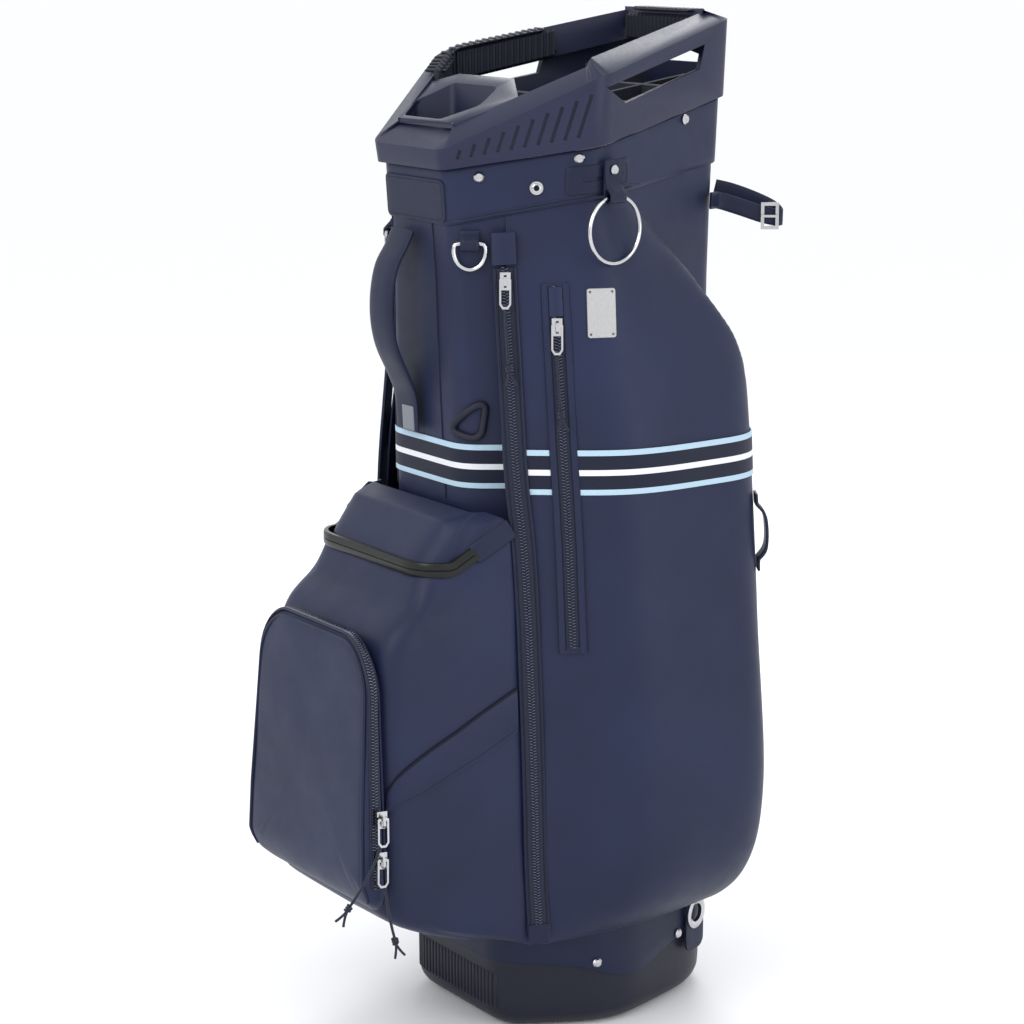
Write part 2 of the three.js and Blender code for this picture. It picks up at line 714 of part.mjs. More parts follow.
const STACK_GRID = STACK_ROWS.map(([front, zf, half, zb]) => {
  const [fx, fy] = frontX(zb);
  return uRow(front, zf, half, zb, Math.min(22, (fy - front) / 2), [fx - 2.4, fy - 8]);
});

// The hood's lower edge follows the waterproof zip, rising along both sides.
const HOOD_ROWS = [
  [-212, 436, 88, 480], [-206, 446, 87, 482], [-184, 471, 84, 484], [-160, 481, 82, 485.5],
  [-143, 487, 80, 487],
];
const HOOD_BACK = [[103, -122], [102, -122], [98, -123], [90, -127], [82, -130]];
const HOOD_GRID = HOOD_ROWS.map(([front, zf, half, zb], i) => {
  const row = uRow(front, zf, half, zb, [30, 28, 22, 12, 5][i], HOOD_BACK[i]);
  return row.map((p) => clear(p.x, p.y, p.z, POCKET_CLEAR));
});

const BALL_ROWS = [
  [-246, 150, 97.5], [-261, 159, 98.5], [-268, 176, 99.5], [-265, 223, 100],
  [-257, 300, 100], [-253, 340, 99], [-250, 370, 97], [-246.4, 386, 94],
];
const BALL_BACK = -243.6;
function ballPocket() {
  const grid = BALL_ROWS.map(([front, z, half]) => {
    const radius = Math.min(14, (BALL_BACK - front) * 0.8);
    return uRow(front, z, half, z, Math.max(radius, 1), [half, BALL_BACK]);
  });
  return sheet(grid, -1.6, 1.6);
}

// The pocket's face at a bearing (degrees about the axis) and height: the point and the way it faces.
function pocketAt(bearing, z) {
  let i = 0;
  while (i < SIDE_ROWS.length - 2 && z > SIDE_ROWS[i + 1][0]) i += 1;
  const t = (z - SIDE_ROWS[i][0]) / (SIDE_ROWS[i + 1][0] - SIDE_ROWS[i][0]);
  const row = SIDE_GRID[i].map((p, k) => p.clone().lerp(SIDE_GRID[i + 1][k], t));
  const wanted = THREE.MathUtils.degToRad(bearing);
  const angle = (p) => Math.atan2(p.y, p.x);
  let k = 0;
  while (k < row.length - 2 && angle(row[k + 1]) < wanted) k += 1;
  const share = (wanted - angle(row[k])) / (angle(row[k + 1]) - angle(row[k]));
  const point = row[k].clone().lerp(row[k + 1], share);
  const run = row[Math.min(k + 2, row.length - 1)].clone().sub(row[Math.max(k - 1, 0)]);
  return { point, facing: Math.atan2(-run.x, run.y) };
}

// ---- zip lines ----
const LONG_ZIP = [
  [112, -24], [140, -24], [178, -24], [225, -24], [300, -25], [390, -27], [460, -30], [502, -33], [543, -35],
  [696, -35],
];
const longZipLine = LONG_ZIP.map(([z, facing]) => {
  const a = THREE.MathUtils.degToRad(facing);
  const [x, y] = frontX(z);
  return [x + 3.4 * Math.cos(a), y + 3.4 * Math.sin(a), z, facing];
});

const SHORT_ZIP = [[372, -29.2], [458, -30.25], [543, -32], [680, -35]];
const shortZipLine = SHORT_ZIP.map(([z, bearing]) => {
  const { point, facing } = pocketAt(bearing, z);
  return [point.x, point.y, z, THREE.MathUtils.radToDeg(facing)];
});

// Place and facing on a zip line at a height.
function onLine(line, z, lift) {
  let i = 0;
  while (i < line.length - 2 && z > line[i + 1][2]) i += 1;
  const t = (z - line[i][2]) / (line[i + 1][2] - line[i][2]);
  const [x, y, , facing] = line[i].map((v, k) => mix(v, line[i + 1][k], t));
  const a = THREE.MathUtils.degToRad(facing);
  const flatOut = V(Math.cos(a), Math.sin(a), 0);
  const up = V(...line[i + 1].slice(0, 3)).sub(V(...line[i].slice(0, 3)));
  const lean = -Math.atan2(up.dot(flatOut), up.z);
  const out = flatOut.clone().multiplyScalar(Math.cos(lean)).add(V(0, 0, Math.sin(lean)));
  const at = V(x, y, z).addScaledVector(out, lift);
  return { at, facing: a, lean, out, side: V(-Math.sin(a), Math.cos(a), 0) };
}

const BALL_ZIP = [
  [99, -251, 182, -12], [100, -251, 210, -12], [100, -249, 336, -12],
];

const SHORT_LIFT = 2.2; // the short zip's stitched surround stands a little off the pocket
const CORD_R = 1.25;
const CORD_LENGTH = 46; // of each zip pull's cord, knot to pull
function hangingCord(start, down, length, sway) {
  const list = [0, 0.3, 0.65, 1].map((t) => {
    const straight = start.clone().addScaledVector(down, length * t);
    return straight.addScaledVector(sway, t * (0.6 + 0.4 * t));
  });
  return tube(list, CORD_R, Math.round(length / 5));
}

// ---- materials: each piece gets one of its own ----
const material = (color, roughness, metalness) => (
  new THREE.MeshStandardMaterial({ color, roughness, metalness })
);
const blackPlastic = () => material(0x14161f, 0.55, 0);
const navyLeather = () => material(0x2b3352, 0.5, 0);
const mouldedShell = () => material(0x454766, 0.45, 0);
const brightSteel = () => material(0xc8ccd2, 0.25, 1);
const wovenBand = () => material(0x0f1730, 0.8, 0);

const parts = [];
function add(name, geometry, finish) {
  const mesh = new THREE.Mesh(geometry, finish);
  mesh.name = name;
  parts.push(mesh);
}

function addFoot() {
  add('base_cup', baseCup(), blackPlastic());
  add('base_trim', baseTrim(), navyLeather());
  const rivets = [[-15, 64], [34, 66]];
  rivets.forEach(([bearing, z], k) => {
    const a = THREE.MathUtils.degToRad(bearing);
    const ring = rounded(cornersOf(FOOT_PLAN));
    const hit = ringHit(ring, a);
    const at = V(hit.x, hit.y, z).addScaledVector(hit.out, GAP * 2 + 2.6);
    add(`base_rivet_${k + 1}`, placed(rivetHead(4.4, 2.6), at, hit.facing), brightSteel());
  });
  const hit = ringHit(rounded(cornersOf(FOOT_PLAN)), THREE.MathUtils.degToRad(44));
  const tabHole = new THREE.Path();
  tabHole.absarc(0, 8, 9.2, 0, 2 * Math.PI);
  const tabAt = V(hit.x, hit.y, 72).addScaledVector(hit.out, 4.4);
  const tab = placed(plate(30, 56, 2, 9, tabHole), tabAt, hit.facing);
  add('umbrella_tab', tab, navyLeather());
  const eyeletAt = V(hit.x, hit.y, 80).addScaledVector(hit.out, 6.8);
  const eyelet = placed(eyeletRing(15, 8.8, 2.4), eyeletAt, hit.facing);
  add('umbrella_eyelet', eyelet, brightSteel());
}

function ringHit(ring, angle) {
  const d = new THREE.Vector2(Math.cos(angle), Math.sin(angle));
  let found = null;
  ring.forEach((p, i) => {
    const e = ring[(i + 1) % ring.length].clone().sub(p);
    const s = p.cross(e) / d.cross(e);
    const t = p.cross(d) / d.cross(e);
    if (s > 0 && t >= 0 && t <= 1) {
      const facing = Math.atan2(-e.x, e.y);
      found = { x: d.x * s, y: d.y * s, facing, out: V(Math.cos(facing), Math.sin(facing), 0) };
    }
  });
  return found;
}

function addTop() {
  add('body_tube', bodyTube(), navyLeather());
  add('collar_band', collarBand(), navyLeather());
  add('top_moulding', topMoulding(), mouldedShell());
  ROWS.forEach((_, k) => add(`divider_row_${k + 1}`, dividerRow(k), blackPlastic()));
  add('grip_near', grip(-20, 62), blackPlastic());
  add('grip_far', grip(144, 220), blackPlastic());
  add('grip_rear', grip(68, 112), blackPlastic());
}

function collarPoint(bearing, z, lift) {
  const a = THREE.MathUtils.degToRad(bearing);
  const hit = ringHit(bodyRing(z), a);
  return { at: V(hit.x, hit.y, z).addScaledVector(hit.out, lift), facing: hit.facing };
}

function addCollarPieces() {
  const rivets = [[-62.7, 771], [-25.6, 787], [43, 812]];
  rivets.forEach(([bearing, z], k) => {
    const { at, facing } = collarPoint(bearing, z, 3.8);
    add(`collar_rivet_${k + 1}`, placed(rivetHead(4.6, 2.8), at, facing), brightSteel());
  });
  const snap = collarPoint(-42.2, 762, 3.8);
  add('snap_socket', placed(eyeletRing(6.2, 2.2, 2.2), snap.at, snap.facing), brightSteel());
  const patchLow = (y) => along(COLLAR_LOW, y) + 7;
  const patchHigh = (y) => along(COLLAR_LOW, y) + 31;
  add('ring_patch', patchOn(-30, -1, patchLow, patchHigh, COLLAR_OUT, 1.2), navyLeather());
  add('front_patch', patchOn(-107, -72, flat(731), flat(768), COLLAR_OUT, 1.4), blackPlastic());
}

const TOWEL = { bearing: -14.5, z: 755, radius: 32.5, wire: 2, lift: 13 };
const D_RING = { bearing: -66, z: 714, wire: 1.8 };

function addRings() {
  const towel = collarPoint(TOWEL.bearing, TOWEL.z, TOWEL.lift);
  add('ring_tab', placed(foldedTab(18, 1.5, 31), towel.at, towel.facing), navyLeather());
  const r = TOWEL.radius;
  const circle = Array.from({ length: 16 }, (_, k) => {
    const a = Math.PI / 2 + (k / 16) * 2 * Math.PI;
    return [r * Math.cos(a), r * Math.sin(a) - r];
  });
  add('towel_ring', placed(wireRing(circle, TOWEL.wire, 48), towel.at, towel.facing), brightSteel());
  const stud = collarPoint(TOWEL.bearing, TOWEL.z + 22, TOWEL.lift - LOOP_IN + 1.6 + GAP);
  add('ring_tab_rivet', placed(rivetHead(4.2, 2.4), stud.at, stud.facing), brightSteel());
  for (const [name, turn] of [['near', 1], ['far', -1]]) {
    const at = collarPoint(D_RING.bearing, D_RING.z, 5.6);
    const point = V(at.at.x * turn, at.at.y, at.at.z);
    const facing = turn > 0 ? at.facing : Math.PI - at.facing;
    add(`d_ring_tab_${name}`, placed(foldedTab(16, 1, 12), point, facing), navyLeather());
    const d = [
      [-12, 0.3], [12, 0.3], [13.2, -2], [13.2, -8], [9, -17],
      [0, -21], [-9, -17], [-13.2, -8], [-13.2, -2],
    ];
    add(`d_ring_${name}`, placed(wireRing(d, D_RING.wire, 44), point, facing), brightSteel());
  }
}

const HANDLE_X = -16;
const HANDLE_HALF = 12.5;
const HANDLE_STEPS = 22;
const GLOVE_LOOP = { bearing: -66, z: 565, lift: 6, wire: 2.6, steps: 40 };
function addHandle() {
  const path = [[-147.5, 721, 1], [-154, 708, 1.2], [-165, 690, 1.6], [-170.5, 655, 1.8], [-166, 622, 1.7],
    [-153, 594, 1.3], [-146, 576, 1], [-144, 545, 0.8]];
  const curve = new THREE.CatmullRomCurve3(path.map(([y, z]) => V(HANDLE_X, y, z)), false, 'centripetal');
  const sections = [];
  for (let k = 0; k <= HANDLE_STEPS; k += 1) {
    const share = k / HANDLE_STEPS;
    const p = curve.getPoint(share);
    const t = curve.getTangent(share);
    const n = V(0, t.z, -t.y).normalize();
    const f = share * (path.length - 1);
    const i = Math.min(path.length - 2, Math.floor(f));
    const half = 2.3 * mix(path[i][2], path[i + 1][2], f - i);
    const w = HANDLE_HALF;
    const outline = [
      [-w, -half * 0.4], [-w * 0.7, -half], [w * 0.7, -half], [w, -half * 0.4],
      [w, half * 0.4], [w * 0.7, half], [-w * 0.7, half], [-w, half * 0.4],
    ];
    sections.push(outline.map(([a, b]) => p.clone().add(V(a, 0, 0)).addScaledVector(n, b)));
  }
  add('grab_handle', skin(sections), navyLeather());
  const { at, facing } = collarPoint(GLOVE_LOOP.bearing, GLOVE_LOOP.z, GLOVE_LOOP.lift);
  const tri = [
    [-8.1, 15], [0, 17.5], [8.1, 14], [10.8, 4], [10.8, -6],
    [8.1, -13.5], [0, -12.5], [-8.1, -9], [-10.8, -2], [-10.35, 8],
  ];
  add('triangle_loop', placed(wireRing(tri, GLOVE_LOOP.wire, GLOVE_LOOP.steps), at, facing), blackPlastic());
}

function addPockets() {
  add('side_pocket_near', sidePocket(), navyLeather());
  add('side_pocket_far', mirrorX(sidePocket()), navyLeather());
  add('lower_pocket', sheet(STACK_GRID, -LEATHER, LEATHER), navyLeather());
  add('valuables_pocket', sheet(HOOD_GRID, -2.2, 2.2), navyLeather());
  add('ball_pocket', ballPocket(), navyLeather());
  add('slash_panel', slashPanel(), navyLeather());
}

// The welted panel of the slash pocket, on the near side of the pocket stack.
const SLASH_TOP = [[-238, 272], [-180, 300], [-122, 328]];
const SLASH_LOW = 170;
function slashPanel() {
  const rows = [];
  for (const t of [0, 0.35, 0.7, 1]) {
    const row = [];
    for (const y of [-232, -205, -178, -151, -124]) {
      const z = mix(SLASH_LOW, along(SLASH_TOP, y), t);
      const x = mix(98, 116, (y + 224) / 108);
      row.push(V(x, y, z));
    }
    rows.push(row);
  }
  return sheet(rows, 1.2, 1.4);
}

function addStraps() {
  const path = [
    [58, 137.5, 747], [66, 148, 744], [80, 163, 737], [95, 176, 728], [106, 175, 722],
    [100, 163, 724], [86, 146, 731], [73.5, 130, 737], [79, 116, 738],
  ];
  const curve = new THREE.CatmullRomCurve3(path.map(([x, y, z]) => V(x, y, z)), false, 'centripetal');
  const sections = [];
  const steps = 32;
  for (let k = 0; k <= steps; k += 1) {
    const p = curve.getPoint(k / steps);
    const t = curve.getTangent(k / steps);
    const n = V(t.y, -t.x, 0).normalize();
    const up = n.clone().cross(t).normalize();
    sections.push([[-1.2, -7.5], [1.2, -7.5], [1.2, 7.5], [-1.2, 7.5]].map(
      ([a, b]) => p.clone().addScaledVector(n, a).addScaledVector(up, b),
    ));
  }
  add('umbrella_strap', skin(sections), navyLeather());
  const outer = new THREE.BoxGeometry(16, 24, 2.4);
  const inner = new THREE.BoxGeometry(10, 18, 6);
  const frame = fromManifold(toManifold(outer).subtract(toManifold(inner)));
  const facing = Math.atan2(-0.62, 0.78);
  const at = V(101.5, 166, 724).add(V(Math.cos(facing) * 4, Math.sin(facing) * 4, 0));
  add('buckle_frame', placed(frame, at, facing), brightSteel());
  const prong = new THREE.BoxGeometry(15, 2.2, 1.6).translate(-0.5, 0, 2.8);
  add('buckle_prong', placed(prong, at, facing), brightSteel());
  const { point, facing: turn } = pocketAt(36, 452);
  const rise = pocketAt(36, 487).point.sub(pocketAt(36, 417).point);
  const lean = -Math.atan2(Math.hypot(rise.x, rise.y) * Math.sign(rise.x), rise.z);
  const arch = new THREE.Shape();
  drawn(arch, [
    [0.8, 35], [0.8, 24], [7, 18], [9.4, 10], [9.4, -10], [7, -18], [0.8, -24], [0.8, -35],
    [3, -35], [3.2, -25], [9, -20], [11.8, -11], [11.8, 11], [9, 20], [3.2, 25], [3, 35],
  ]);
  const loop = new THREE.ExtrudeGeometry(arch, { depth: 20, bevelEnabled: false });
  loop.translate(0, 0, -10).rotateY(-Math.PI / 2);
  add('cart_strap_keeper', placed(loop, point, turn, lean), navyLeather());
  const badge = pocketAt(-17.75, 657);
  const badgeAt = badge.point.clone().add(V(1.2, -0.5, 0));
  add('name_plate', placed(plate(25, 42, 1.2, 1.5, null), badgeAt, badge.facing, 0.14), brightSteel());
}

function stripe(grid, from, to, low, high) {
  const pick = (z) => {
    let i = 0;
    while (i < SIDE_ROWS.length - 2 && z > SIDE_ROWS[i + 1][0]) i += 1;
    const t = (z - SIDE_ROWS[i][0]) / (SIDE_ROWS[i + 1][0] - SIDE_ROWS[i][0]);
    return grid[i].map((p, k) => p.clone().lerp(grid[i + 1][k], t)).slice(from, to);
  };
  return sheet([pick(low), pick(high)], GAP, 1);
}

const STRIPE_LOW = 502;
const STRIPE_HIGH = 543;
function addStripes() {
  const side = stripe(SIDE_GRID, 1, 17, STRIPE_LOW, STRIPE_HIGH);
  add('stripe_side', side, wovenBand());
  add('stripe_far', mirrorX(side), wovenBand());
  add('stripe_front', patchOn(-124, -54, flat(STRIPE_LOW), flat(STRIPE_HIGH), 1, 1, 18), wovenBand());
}

function addZips() {
  add('long_zip', tape(longZipLine, 17, GAP, 1.4), blackPlastic());
  addSlider('long_zip', longZipLine, 684, GAP);
  add('short_zip', tape(shortZipLine, 16, SHORT_LIFT, 1.4), blackPlastic());
  addSlider('short_zip', shortZipLine, 645, SHORT_LIFT);
  add('ball_zip', tape(BALL_ZIP, 10, 2, 1.4), blackPlastic());
  addSlider('ball_zip_upper', BALL_ZIP, 240, 2, -28, -3.5);
  addSlider('ball_zip_lower', BALL_ZIP, 204, 2, 8, 2);
  const mid = STACK_GRID.at(-1).map((p, i) => p.clone().add(HOOD_GRID[0][i]).multiplyScalar(0.5));
  const rows = [-6, 6].map((dz) => mid.map((p) => V(p.x, p.y, p.z + dz)));
  add('valuables_zip', sheet(rows, 3.2, 1.4), blackPlastic());
}

function addSlider(name, line, z, lift, swing, shift) {
  const place = onLine(line, z, lift + 1.4 + GAP);
  add(`${name}_slider`, placed(sliderBody(), place.at, place.facing, place.lean), brightSteel());
  addPull(name, place, swing, shift);
}

function addPull(name, { at, facing, lean, out, side }, swing = 3, shift = 0) {
  const up = out.clone().cross(side);
  const hinge = at.clone().addScaledVector(out, PULL.high).addScaledVector(up, PULL.bar);
  add(`${name}_pull`, placed(pullLoop(), hinge, facing, lean), brightSteel());
  const start = hinge.clone().addScaledVector(up, -PULL.length - CORD_R - GAP).addScaledVector(side, shift);
  const sway = side.clone().multiplyScalar(swing).addScaledVector(out, 2);
  add(`${name}_cord`, hangingCord(start, up.negate(), CORD_LENGTH, sway), blackPlastic());
}

addFoot();
addTop();
addCollarPieces();
addRings();
addHandle();
addPockets();
addStripes();
addZips();
addStraps();
const group = new THREE.Group();
group.add(...parts);
export default group;
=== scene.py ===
# %% [markdown]
# # A golf cart bag, dressed over its frame
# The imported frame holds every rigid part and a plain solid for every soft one, at their true sizes.
# This lesson keeps the frame where it is and sews the bag over it: coated-leather panels with soft folds,
# stitched seams, coil zips, a woven striped band, nickel fittings and braided zip-pull cords.
# The front of the bag (its ball pocket) looks along -Y, and the dressed side looks along +X.

import json
import math

import bmesh
import bpy
import numpy as np
from mathutils import Matrix, Vector, noise
from mathutils.bvhtree import BVHTree

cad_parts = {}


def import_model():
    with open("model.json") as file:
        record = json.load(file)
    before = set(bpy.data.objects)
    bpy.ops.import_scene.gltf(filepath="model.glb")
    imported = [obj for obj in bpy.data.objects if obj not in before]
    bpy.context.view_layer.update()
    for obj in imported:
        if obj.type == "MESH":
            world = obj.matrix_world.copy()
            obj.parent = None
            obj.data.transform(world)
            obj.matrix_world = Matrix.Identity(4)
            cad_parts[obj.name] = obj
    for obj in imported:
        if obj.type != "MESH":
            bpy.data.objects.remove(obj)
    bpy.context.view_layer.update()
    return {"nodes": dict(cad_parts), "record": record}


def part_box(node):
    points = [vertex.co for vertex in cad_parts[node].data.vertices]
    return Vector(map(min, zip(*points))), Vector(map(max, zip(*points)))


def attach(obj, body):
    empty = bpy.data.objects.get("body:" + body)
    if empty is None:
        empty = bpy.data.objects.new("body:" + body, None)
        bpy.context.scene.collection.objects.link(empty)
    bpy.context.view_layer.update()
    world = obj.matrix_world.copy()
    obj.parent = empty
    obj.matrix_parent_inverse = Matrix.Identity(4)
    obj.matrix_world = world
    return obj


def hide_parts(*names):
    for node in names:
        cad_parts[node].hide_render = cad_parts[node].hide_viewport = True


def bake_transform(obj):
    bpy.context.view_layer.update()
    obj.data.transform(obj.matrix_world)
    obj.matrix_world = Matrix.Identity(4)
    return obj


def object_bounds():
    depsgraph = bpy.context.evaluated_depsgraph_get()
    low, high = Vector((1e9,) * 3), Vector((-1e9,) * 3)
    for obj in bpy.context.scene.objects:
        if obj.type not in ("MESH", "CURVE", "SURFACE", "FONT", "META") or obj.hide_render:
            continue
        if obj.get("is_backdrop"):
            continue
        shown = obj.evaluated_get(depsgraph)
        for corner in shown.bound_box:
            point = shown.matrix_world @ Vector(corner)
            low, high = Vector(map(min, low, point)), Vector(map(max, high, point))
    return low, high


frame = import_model()
NODES = frame["nodes"]

# %% [markdown]
# ## The camera
# A long lens a couple of metres away flattens the tall bag the way a catalogue view does. It stands off the
# near front corner and looks down a little, so that both the ball pocket and the dressed side show.

# %% Camera
CAMERA_PLACE = (1.9379, -1.4009, 0.9895)
CAMERA_TILT = 77.4
CAMERA_TURN = 55.0
LENS = 94.57
SENSOR = 36.0


def added(name, data):
    """A new object, linked to the scene."""
    obj = bpy.data.objects.new(name, data)
    bpy.context.scene.collection.objects.link(obj)
    return obj


camera_data = bpy.data.cameras.new("camera")
camera_data.lens = LENS
camera_data.sensor_width = SENSOR
camera = added("camera", camera_data)
camera.location = CAMERA_PLACE
camera.rotation_euler = (math.radians(CAMERA_TILT), 0, math.radians(CAMERA_TURN))
bpy.context.scene.camera = camera

# %% [markdown]
# ## Finishes
# Every finish is a small node tree on a Principled shader. The pattern is read from Object coordinates, which
# here are plain metres on the bag, so a grain has the same size on every panel. Cloth that has a direction,
# such as webbing and cord, reads the UV map that its piece carries instead.

# %% Material helper
class Finish:
    """A Principled material with short calls for the nodes that the finishes below need."""

    def __init__(self, name, roughness=0.5, metallic=0.0, **sockets):
        self.material = bpy.data.materials.new(name)
        self.material.use_nodes = True
        self.tree = self.material.node_tree
        self.shader = self.tree.nodes["Principled BSDF"]
        self.shader.inputs["Roughness"].default_value = roughness
        self.shader.inputs["Metallic"].default_value = metallic
        for socket, value in sockets.items():
            self.shader.inputs[socket.replace("_", " ")].default_value = value
        self.coordinates = self.node("ShaderNodeTexCoord")

    def node(self, kind, **settings):
        made = self.tree.nodes.new(kind)
        for key, value in settings.items():
            setattr(made, key, value)
        return made

    def link(self, start, end):
        self.tree.links.new(start, end)

    def place(self, source="Object", scale=(1, 1, 1)):
        mapping = self.node("ShaderNodeMapping")
        mapping.inputs["Scale"].default_value = scale
        self.link(self.coordinates.outputs[source], mapping.inputs["Vector"])
        return mapping.outputs["Vector"]

    def noise(self, scale, detail=2.0, where=None):
        made = self.node("ShaderNodeTexNoise")
        made.inputs["Scale"].default_value = scale
        made.inputs["Detail"].default_value = detail
        self.link(where or self.place(), made.inputs["Vector"])
        return made.outputs["Fac"]

    def cells(self, scale, where=None):
        made = self.node("ShaderNodeTexVoronoi")
        made.inputs["Scale"].default_value = scale
        self.link(where or self.place(), made.inputs["Vector"])
        return made.outputs["Distance"]

    def wave(self, scale, direction, where):
        made = self.node("ShaderNodeTexWave", wave_type="BANDS", bands_direction=direction)
        made.inputs["Scale"].default_value = scale
        self.link(where, made.inputs["Vector"])
        return made.outputs["Fac"]

    def ramp(self, source, *stops, hard=False):
        made = self.node("ShaderNodeValToRGB")
        made.color_ramp.interpolation = "CONSTANT" if hard else "LINEAR"
        while len(made.color_ramp.elements) < len(stops):
            made.color_ramp.elements.new(0.5)
        for element, (position, colour) in zip(made.color_ramp.elements, stops):
            element.position = position
            element.color = (*colour, 1) if hasattr(colour, "__len__") else (colour, colour, colour, 1)
        self.link(source, made.inputs["Fac"])
        return made.outputs["Color"]

    def colour(self, source):
        self.link(source, self.shader.inputs["Base Color"])

    def roughness(self, source, low, high):
        self.link(self.ramp(source, (0.2, low), (0.8, high)), self.shader.inputs["Roughness"])

    def bump(self, *layers):
        """Layers are (height, strength, depth in metres), each laid over the last."""
        last = None
        for height, strength, depth in layers:
            made = self.node("ShaderNodeBump")
            made.inputs["Strength"].default_value = strength
            made.inputs["Distance"].default_value = depth
            self.link(height, made.inputs["Height"])
            if last:
                self.link(last, made.inputs["Normal"])
            last = made.outputs["Normal"]
        self.link(last, self.shader.inputs["Normal"])


def shade(colour, factor):
    return tuple(channel * factor for channel in colour)


# %% [markdown]
# ### Coated leather
# The panels are a soft PU leather: a low sheen, a pebble grain under half a millimetre across, and broad
# faint changes of tone where the coating lies thicker. Voronoi cells make the pebbles and noise breaks them.

# %% Leather
NAVY = (0.0112, 0.0165, 0.0480)
GRAIN_DEPTH, DENT_DEPTH = 0.00008, 0.0006


def leather(name, tone, roughness=(0.40, 0.52), grain=0.22):
    made = Finish(name, Specular_IOR_Level=0.24, Sheen_Weight=0.02, Sheen_Roughness=0.4)
    broad = made.noise(9, 3)
    made.colour(made.ramp(broad, (0.3, shade(tone, 0.86)), (0.7, shade(tone, 1.16))))
    made.roughness(made.noise(60, 4), *roughness)
    pebbles = (made.cells(2100), grain, GRAIN_DEPTH)
    breaks = (made.noise(700, 3), grain, GRAIN_DEPTH)
    dents = (made.noise(70, 2), 0.1, DENT_DEPTH)
    made.bump(pebbles, breaks, dents)
    return made.material


LEATHER = leather("coated_leather", NAVY)
LEATHER_TRIM = leather("trim_leather", shade(NAVY, 0.72))
# A much darker copy of the leather: painted shade for the grooves of the two front seams.
SEAM_SHADE_LEATHER = leather("painted_shade_leather", shade(NAVY, 0.45), (0.5, 0.65))

# %% [markdown]
# ### Moulded plastics and rubber
# The divider top is a greyer, warmer navy with a fine spark-eroded skin. The base cup is darker. The grips
# are soft rubber, nearly black, so their ribs read by their edges alone.

# %% Plastics and rubber
SPARK_DEPTH, SHRINK_DEPTH = 0.00005, 0.0005


def moulded(name, tone, roughness, spark=0.3):
    made = Finish(name, Specular_IOR_Level=0.3)
    made.colour(made.ramp(made.noise(14, 4), (0.3, shade(tone, 0.93)), (0.7, shade(tone, 1.07))))
    made.roughness(made.noise(300, 3), roughness - 0.05, roughness + 0.06)
    made.bump((made.noise(2600, 2), spark, SPARK_DEPTH), (made.noise(30, 2), 0.06, SHRINK_DEPTH))
    return made.material


TOP_PLASTIC = moulded("moulded_top_plastic", (0.0135, 0.0165, 0.0440), 0.42)
BASE_PLASTIC = moulded("moulded_base_plastic", (0.0062, 0.0075, 0.018), 0.42)
GRIP_RUBBER = moulded("grip_rubber", (0.009, 0.011, 0.022), 0.5, 0.4)
PATCH_RUBBER = moulded("patch_rubber", (0.013, 0.017, 0.040), 0.6, 0.45)
LOOP_RUBBER = moulded("loop_rubber", (0.008, 0.010, 0.022), 0.55, 0.5)
BLACK_FILM = moulded("sealed_zip_film", (0.006, 0.007, 0.006), 0.3, 0.15)
# seam_shadow is painted shadow: a near-black laid in the gaps beside the zips, in the slash pocket's mouth
# and in the snap's hole.
SHADOW = moulded("seam_shadow", (0.004, 0.005, 0.012), 0.8, 0.1)

# %% [markdown]
# ### Metals
# The rings, rivets, buckle and zip pulls are nickel plated. A low, uneven roughness keeps the plating from
# looking like a mirror. The name plate is brushed along its height, so its noise is stretched in Z.

# %% Metals
PLATING_DEPTH, BRUSHING_DEPTH = 0.00006, 0.00005


def plated(name, tone, roughness):
    made = Finish(name, metallic=1.0)
    made.colour(made.ramp(made.noise(120, 3), (0.3, shade(tone, 0.9)), (0.7, tone)))
    made.roughness(made.noise(500, 4), roughness * 0.7, roughness * 1.5)
    made.bump((made.noise(900, 3), 0.05, PLATING_DEPTH))
    return made.material


NICKEL = plated("nickel", (0.56, 0.56, 0.57), 0.15)
DARK_METAL = plated("zip_coil", (0.13, 0.14, 0.19), 0.26)

brushed = Finish("brushed_plate", metallic=0.9)
brushing = brushed.noise(1, 3, brushed.place(scale=(2600, 2600, 70)))
brushed.colour(brushed.ramp(brushing, (0.2, 0.36), (0.8, 0.50)))
brushed.roughness(brushing, 0.34, 0.5)
brushed.bump((brushing, 0.15, BRUSHING_DEPTH))
BRUSHED = brushed.material

# %% [markdown]
# ### Cloth, webbing and thread
# Webbing and zip tape are woven: two crossed waves make the over and under of the threads. The same waves
# also set the colour, as painted shade in the hollows between threads and painted light on their crowns. The
# striped band takes its five stripes from its own UV map, whose V runs once across the band.

# %% Cloth
STRIPE_BLUE = (0.46, 0.63, 0.76)
STRIPE_WHITE = (0.84, 0.85, 0.90)
WEB_NAVY = (0.0045, 0.0075, 0.025)
WAVES = math.tau / 20  # a wave texture at scale 1 has 20 / tau waves to the metre
WEAVE_DEPTH, FUZZ_DEPTH, RIB_DEPTH = 0.00015, 0.0001, 0.0002


def woven(name, tone, threads=900, coords="UV", roughness=0.8, lift=0.5):
    made = Finish(name, roughness, Sheen_Weight=0.15, Specular_IOR_Level=0.3)
    where = made.place(coords)
    weft = made.wave(threads * WAVES, "X", where)
    warp = made.wave(threads * WAVES, "Y" if coords == "UV" else "Z", where)
    crossed = made.node("ShaderNodeMath", operation="MULTIPLY")
    made.link(weft, crossed.inputs[0])
    made.link(warp, crossed.inputs[1])
    # The colour follows the weave's height: painted shade in the hollows between threads, painted light on
    # their crowns.
    made.colour(made.ramp(crossed.outputs[0], (0.0, shade(tone, 0.72)), (1.0, shade(tone, 1.25))))
    made.bump((crossed.outputs[0], lift, WEAVE_DEPTH), (made.noise(1200, 2), 0.2, FUZZ_DEPTH))
    return made.material


